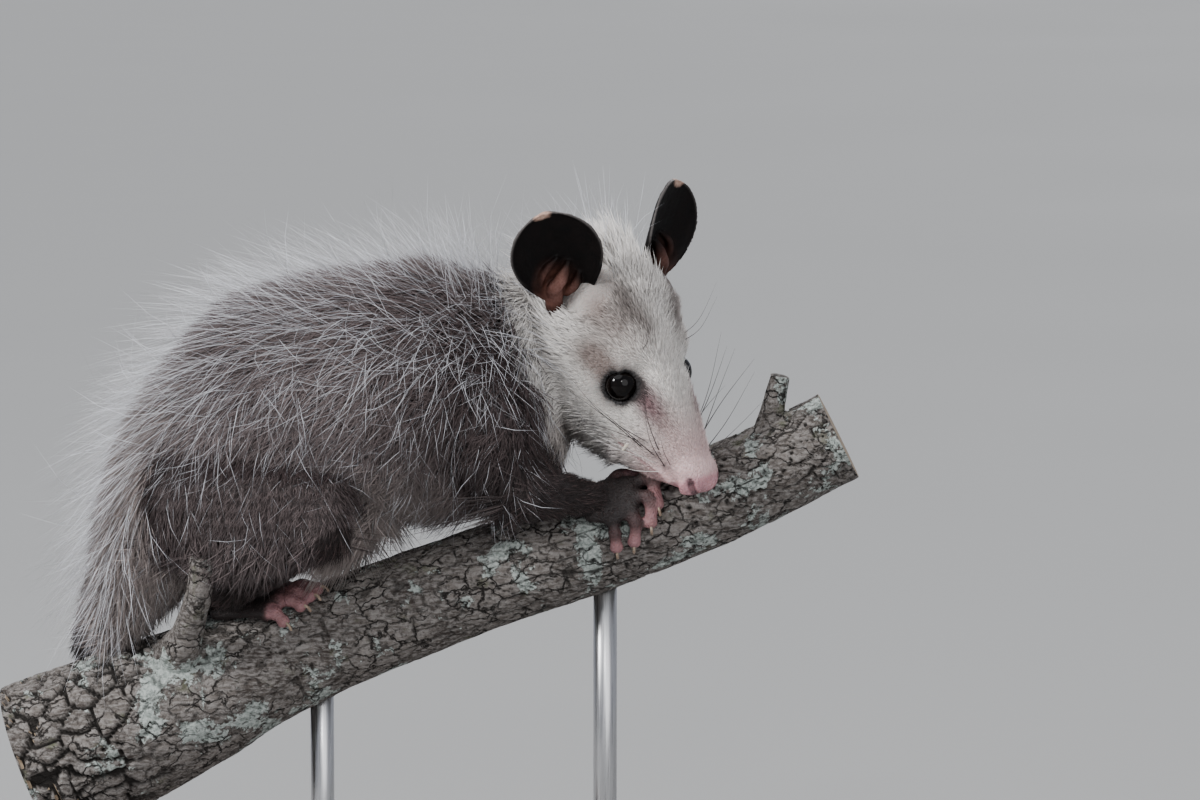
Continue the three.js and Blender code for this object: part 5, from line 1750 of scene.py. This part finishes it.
def make_perch():
    stem = Form([(x, 0, z, r - 0.1, r - 0.1, r - 0.1) for x, z, r in branch_stations], domes=(0, 0))
    side_line = [(-66, -10, -14), (-62, -20, -5), (-58, -27, 8), (-57, -29, 17)]
    side_twig = tube(side_line, [7, 4.5, 3.5, 3.2], domes=(0.2, 0.05))
    top_twig = tube([(92, 0, 40), (95, -1, 52), (97, -2, 62)], [5, 3, 2.5], up=(0, 1, 0), domes=(0.2, 0.05))
    parts = [
        barked_tube(stem, 420, 175, (9.5, 5.5), 1.0, 501),
        barked_tube(side_twig, 90, 60, (6, 4), 0.35, 521),
        barked_tube(top_twig, 70, 50, (5, 3), 0.3, 541),
    ]
    points, triangles = joined_tubes([part[:2] for part in parts])
    crack = np.concatenate([part[2] for part in parts])
    axis = branch_form.path(branch_form.locate(points, 400)[0])
    radius = np.linalg.norm(points - axis, axis=1) / 1000
    materials = [bark_material(), cut_wood_material()]
    floats = {"crack": crack, "radius": radius}
    perch = triangle_piece("branch_bark", points, triangles, materials, floats=floats)
    normals = face_vectors(perch.data, "normal")
    centres = face_vectors(perch.data, "center") * 1000 - (0, 0, perch_height)
    ends = branch_form.rings(np.array([0.0, 1.0]))[1]
    sawn = np.zeros(len(normals), np.int32)
    for end, (x, z, r) in zip(ends, (branch_stations[0], branch_stations[-1])):
        near = np.linalg.norm(centres - (x, 0, z), axis=1) < r + 1
        sawn[near & (np.abs(normals @ end) > 0.95)] = 1
    perch.data.polygons.foreach_set("material_index", sawn)
    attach(perch, "root")
    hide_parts("perch_branch")


rod_places = {"rear": -27, "front": 50}
rod_radius = 3.2
rod_bottom = 12 - perch_height


def make_stand():
    steel = steel_material()
    for word, x in rod_places.items():
        top = branch_at(x)[0][2]
        line = [(x, 0, rod_bottom), (x, 0, blend(rod_bottom, top, 0.5)), (x, 0, top)]
        points, triangles = tube(line, [rod_radius] * 3, up=(0, 1, 0), domes=(0, 0)).mesh(2, 64)
        piece = triangle_piece("rod_" + word, points, triangles, [steel])
        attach(piece, "root")
        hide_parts("stand_rod_" + word)
    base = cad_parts["stand_base"]
    base.data.materials.clear()
    base.data.materials.append(stand_wood_material())


floor_half_width = 14000
camera_target = Vector((0.0486, 0.0, 0.1732))
camera_distance = 1.5
camera_elevation = math.radians(8)
camera_lens = 166.7
light_middle = Vector((0, 0, 0.17))


def aimed(piece, target):
    direction = target - piece.location
    piece.rotation_euler = direction.to_track_quat("-Z", "Y").to_euler()


def make_camera():
    data = bpy.data.cameras.new("camera")
    data.lens = camera_lens
    data.sensor_width = 36.0
    data.clip_start = 0.05
    camera = new_object("camera", data)
    away = Vector((0, -math.cos(camera_elevation), math.sin(camera_elevation)))
    camera.location = camera_target + away * camera_distance
    aimed(camera, camera_target)
    bpy.context.scene.camera = camera


def make_lights(settings):
    # Each light's name, kind, place from the model's middle, and width, which is an angle for a sun
    lights = (
        ("daylight", "SUN", (-0.7, -0.5, 1.6), 0.9),
        ("fill", "SUN", (0.5, -1.3, 0.5), 0.8),
        ("rim", "SUN", (0.3, 1.3, 0.9), 0.3),
        ("window", "AREA", (-0.9, -0.45, 0.55), 0.22),
        ("lamp", "AREA", (-0.02, -1.05, 0.55), 0.08),
    )
    for name, kind, place, width in lights:
        light = bpy.data.lights.new(name, kind)
        setattr(light, "angle" if kind == "SUN" else "size", width)
        light.energy = getattr(settings, name)
        lamp = new_object(name, light)
        lamp.location = light_middle + Vector(place)
        aimed(lamp, light_middle)
    world = bpy.data.worlds.new("studio")
    world.use_nodes = True
    background = world.node_tree.nodes["Background"]
    background.inputs["Color"].default_value = (0.86, 0.9, 1.0, 1)
    background.inputs["Strength"].default_value = settings.ambient
    bpy.context.scene.world = world


def make_studio(settings):
    corners = np.array([(-1, -1), (1, -1), (1, 1), (-1, 1)]) * floor_half_width
    points = np.column_stack([corners, np.full(4, -perch_height)])
    floor = new_piece("studio_floor", points, [0, 1, 2, 3], [4], [floor_material()])
    make_camera()
    make_lights(settings)


# Settings, operators and the panel

class OPOSSUM_PG_skin(bpy.types.PropertyGroup):
    """How finely the skin is modelled."""
    cell: bpy.props.FloatProperty(name="Cell", description="Size of the modelling grid", default=0.00055,
                                  unit="LENGTH")
    fineness: bpy.props.FloatProperty(name="Simplify", description="How far flat places are simplified",
                                      default=0.02, subtype="FACTOR")


class OPOSSUM_PG_coat(bpy.types.PropertyGroup):
    """How dense the coat is."""
    density: bpy.props.FloatProperty(name="Density", description="Share of the full number of tufts",
                                     default=1.0, subtype="FACTOR")


class OPOSSUM_PG_studio(bpy.types.PropertyGroup):
    """How bright the studio's lights are."""
    daylight: bpy.props.FloatProperty(name="Daylight", description="Strength of the light from above",
                                      default=1.2)
    fill: bpy.props.FloatProperty(name="Fill", description="Strength of the light from the front",
                                  default=1.1)
    rim: bpy.props.FloatProperty(name="Rim", description="Strength of the light from behind", default=1.6)
    window: bpy.props.FloatProperty(name="Window", description="Power of the window light", default=14.0,
                                    unit="POWER")
    lamp: bpy.props.FloatProperty(name="Lamp", description="Power of the small front light", default=2.0,
                                  unit="POWER")
    ambient: bpy.props.FloatProperty(name="Ambient", description="Strength of the light all round",
                                     default=0.5)


class OPOSSUM_OT_skin(bpy.types.Operator):
    """Builds the one skin that stands for all the flesh"""
    bl_idname = "opossum.skin"
    bl_label = "Skin"

    def execute(self, context):
        piece = make_skin(context.scene.opossum_skin)
        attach(piece, "root")
        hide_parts(*flesh_nodes)
        return {"FINISHED"}


class OPOSSUM_OT_ears(bpy.types.Operator):
    """Builds both ears"""
    bl_idname = "opossum.ears"
    bl_label = "Ears"

    def execute(self, context):
        made["ear_material"] = ear_material()
        for side in sides:
            make_ear(side)
        return {"FINISHED"}


class OPOSSUM_OT_eyes(bpy.types.Operator):
    """Builds both eyes"""
    bl_idname = "opossum.eyes"
    bl_label = "Eyes"

    def execute(self, context):
        made["eye_material"] = eye_material()
        for side in sides:
            make_eye(side)
        return {"FINISHED"}


class OPOSSUM_OT_tooth_and_claws(bpy.types.Operator):
    """Builds the canine's tip and the claws"""
    bl_idname = "opossum.tooth_and_claws"
    bl_label = "Tooth and claws"

    def execute(self, context):
        make_canine()
        make_claws()
        return {"FINISHED"}


class OPOSSUM_OT_coat(bpy.types.Operator):
    """Grows the underfur, the guard hairs and the face's fur"""
    bl_idname = "opossum.coat"
    bl_label = "Coat"

    def execute(self, context):
        settings = context.scene.opossum_coat
        for piece in make_underfur(settings):
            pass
        for piece in make_guard_hairs(settings):
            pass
        for piece in make_face_fur(settings):
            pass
        return {"FINISHED"}


class OPOSSUM_OT_whiskers(bpy.types.Operator):
    """Grows the whiskers"""
    bl_idname = "opossum.whiskers"
    bl_label = "Whiskers"

    def execute(self, context):
        make_whiskers()
        return {"FINISHED"}


class OPOSSUM_OT_perch(bpy.types.Operator):
    """Builds the branch"""
    bl_idname = "opossum.perch"
    bl_label = "Perch"

    def execute(self, context):
        make_perch()
        return {"FINISHED"}


class OPOSSUM_OT_stand(bpy.types.Operator):
    """Builds the rods and finishes the base"""
    bl_idname = "opossum.stand"
    bl_label = "Stand"

    def execute(self, context):
        make_stand()
        return {"FINISHED"}


class OPOSSUM_OT_studio(bpy.types.Operator):
    """Sets up the floor, lights and camera"""
    bl_idname = "opossum.studio"
    bl_label = "Studio"

    def execute(self, context):
        make_studio(context.scene.opossum_studio)
        return {"FINISHED"}


steps = (
    OPOSSUM_OT_studio,
    OPOSSUM_OT_skin,
    OPOSSUM_OT_ears,
    OPOSSUM_OT_eyes,
    OPOSSUM_OT_tooth_and_claws,
    OPOSSUM_OT_coat,
    OPOSSUM_OT_whiskers,
    OPOSSUM_OT_perch,
    OPOSSUM_OT_stand,
)


class OPOSSUM_PT_panel(bpy.types.Panel):
    """Lists the steps"""
    bl_idname = "OPOSSUM_PT_panel"
    bl_label = "Opossum"
    bl_space_type = "VIEW_3D"
    bl_region_type = "UI"
    bl_category = "Opossum"

    def draw(self, context):
        for step in steps:
            self.layout.operator(step.bl_idname)


classes = (OPOSSUM_PG_skin, OPOSSUM_PG_coat, OPOSSUM_PG_studio, *steps, OPOSSUM_PT_panel)


def register():
    for each in classes:
        bpy.utils.register_class(each)
    bpy.types.Scene.opossum_skin = bpy.props.PointerProperty(type=OPOSSUM_PG_skin)
    bpy.types.Scene.opossum_coat = bpy.props.PointerProperty(type=OPOSSUM_PG_coat)
    bpy.types.Scene.opossum_studio = bpy.props.PointerProperty(type=OPOSSUM_PG_studio)


def unregister():
    del bpy.types.Scene.opossum_studio
    del bpy.types.Scene.opossum_coat
    del bpy.types.Scene.opossum_skin
    for each in reversed(classes):
        bpy.utils.unregister_class(each)


def main():
    register()
    for step in steps:
        group, name = step.bl_idname.split(".")
        getattr(getattr(bpy.ops, group), name)()


if __name__ == "__main__":
    main()
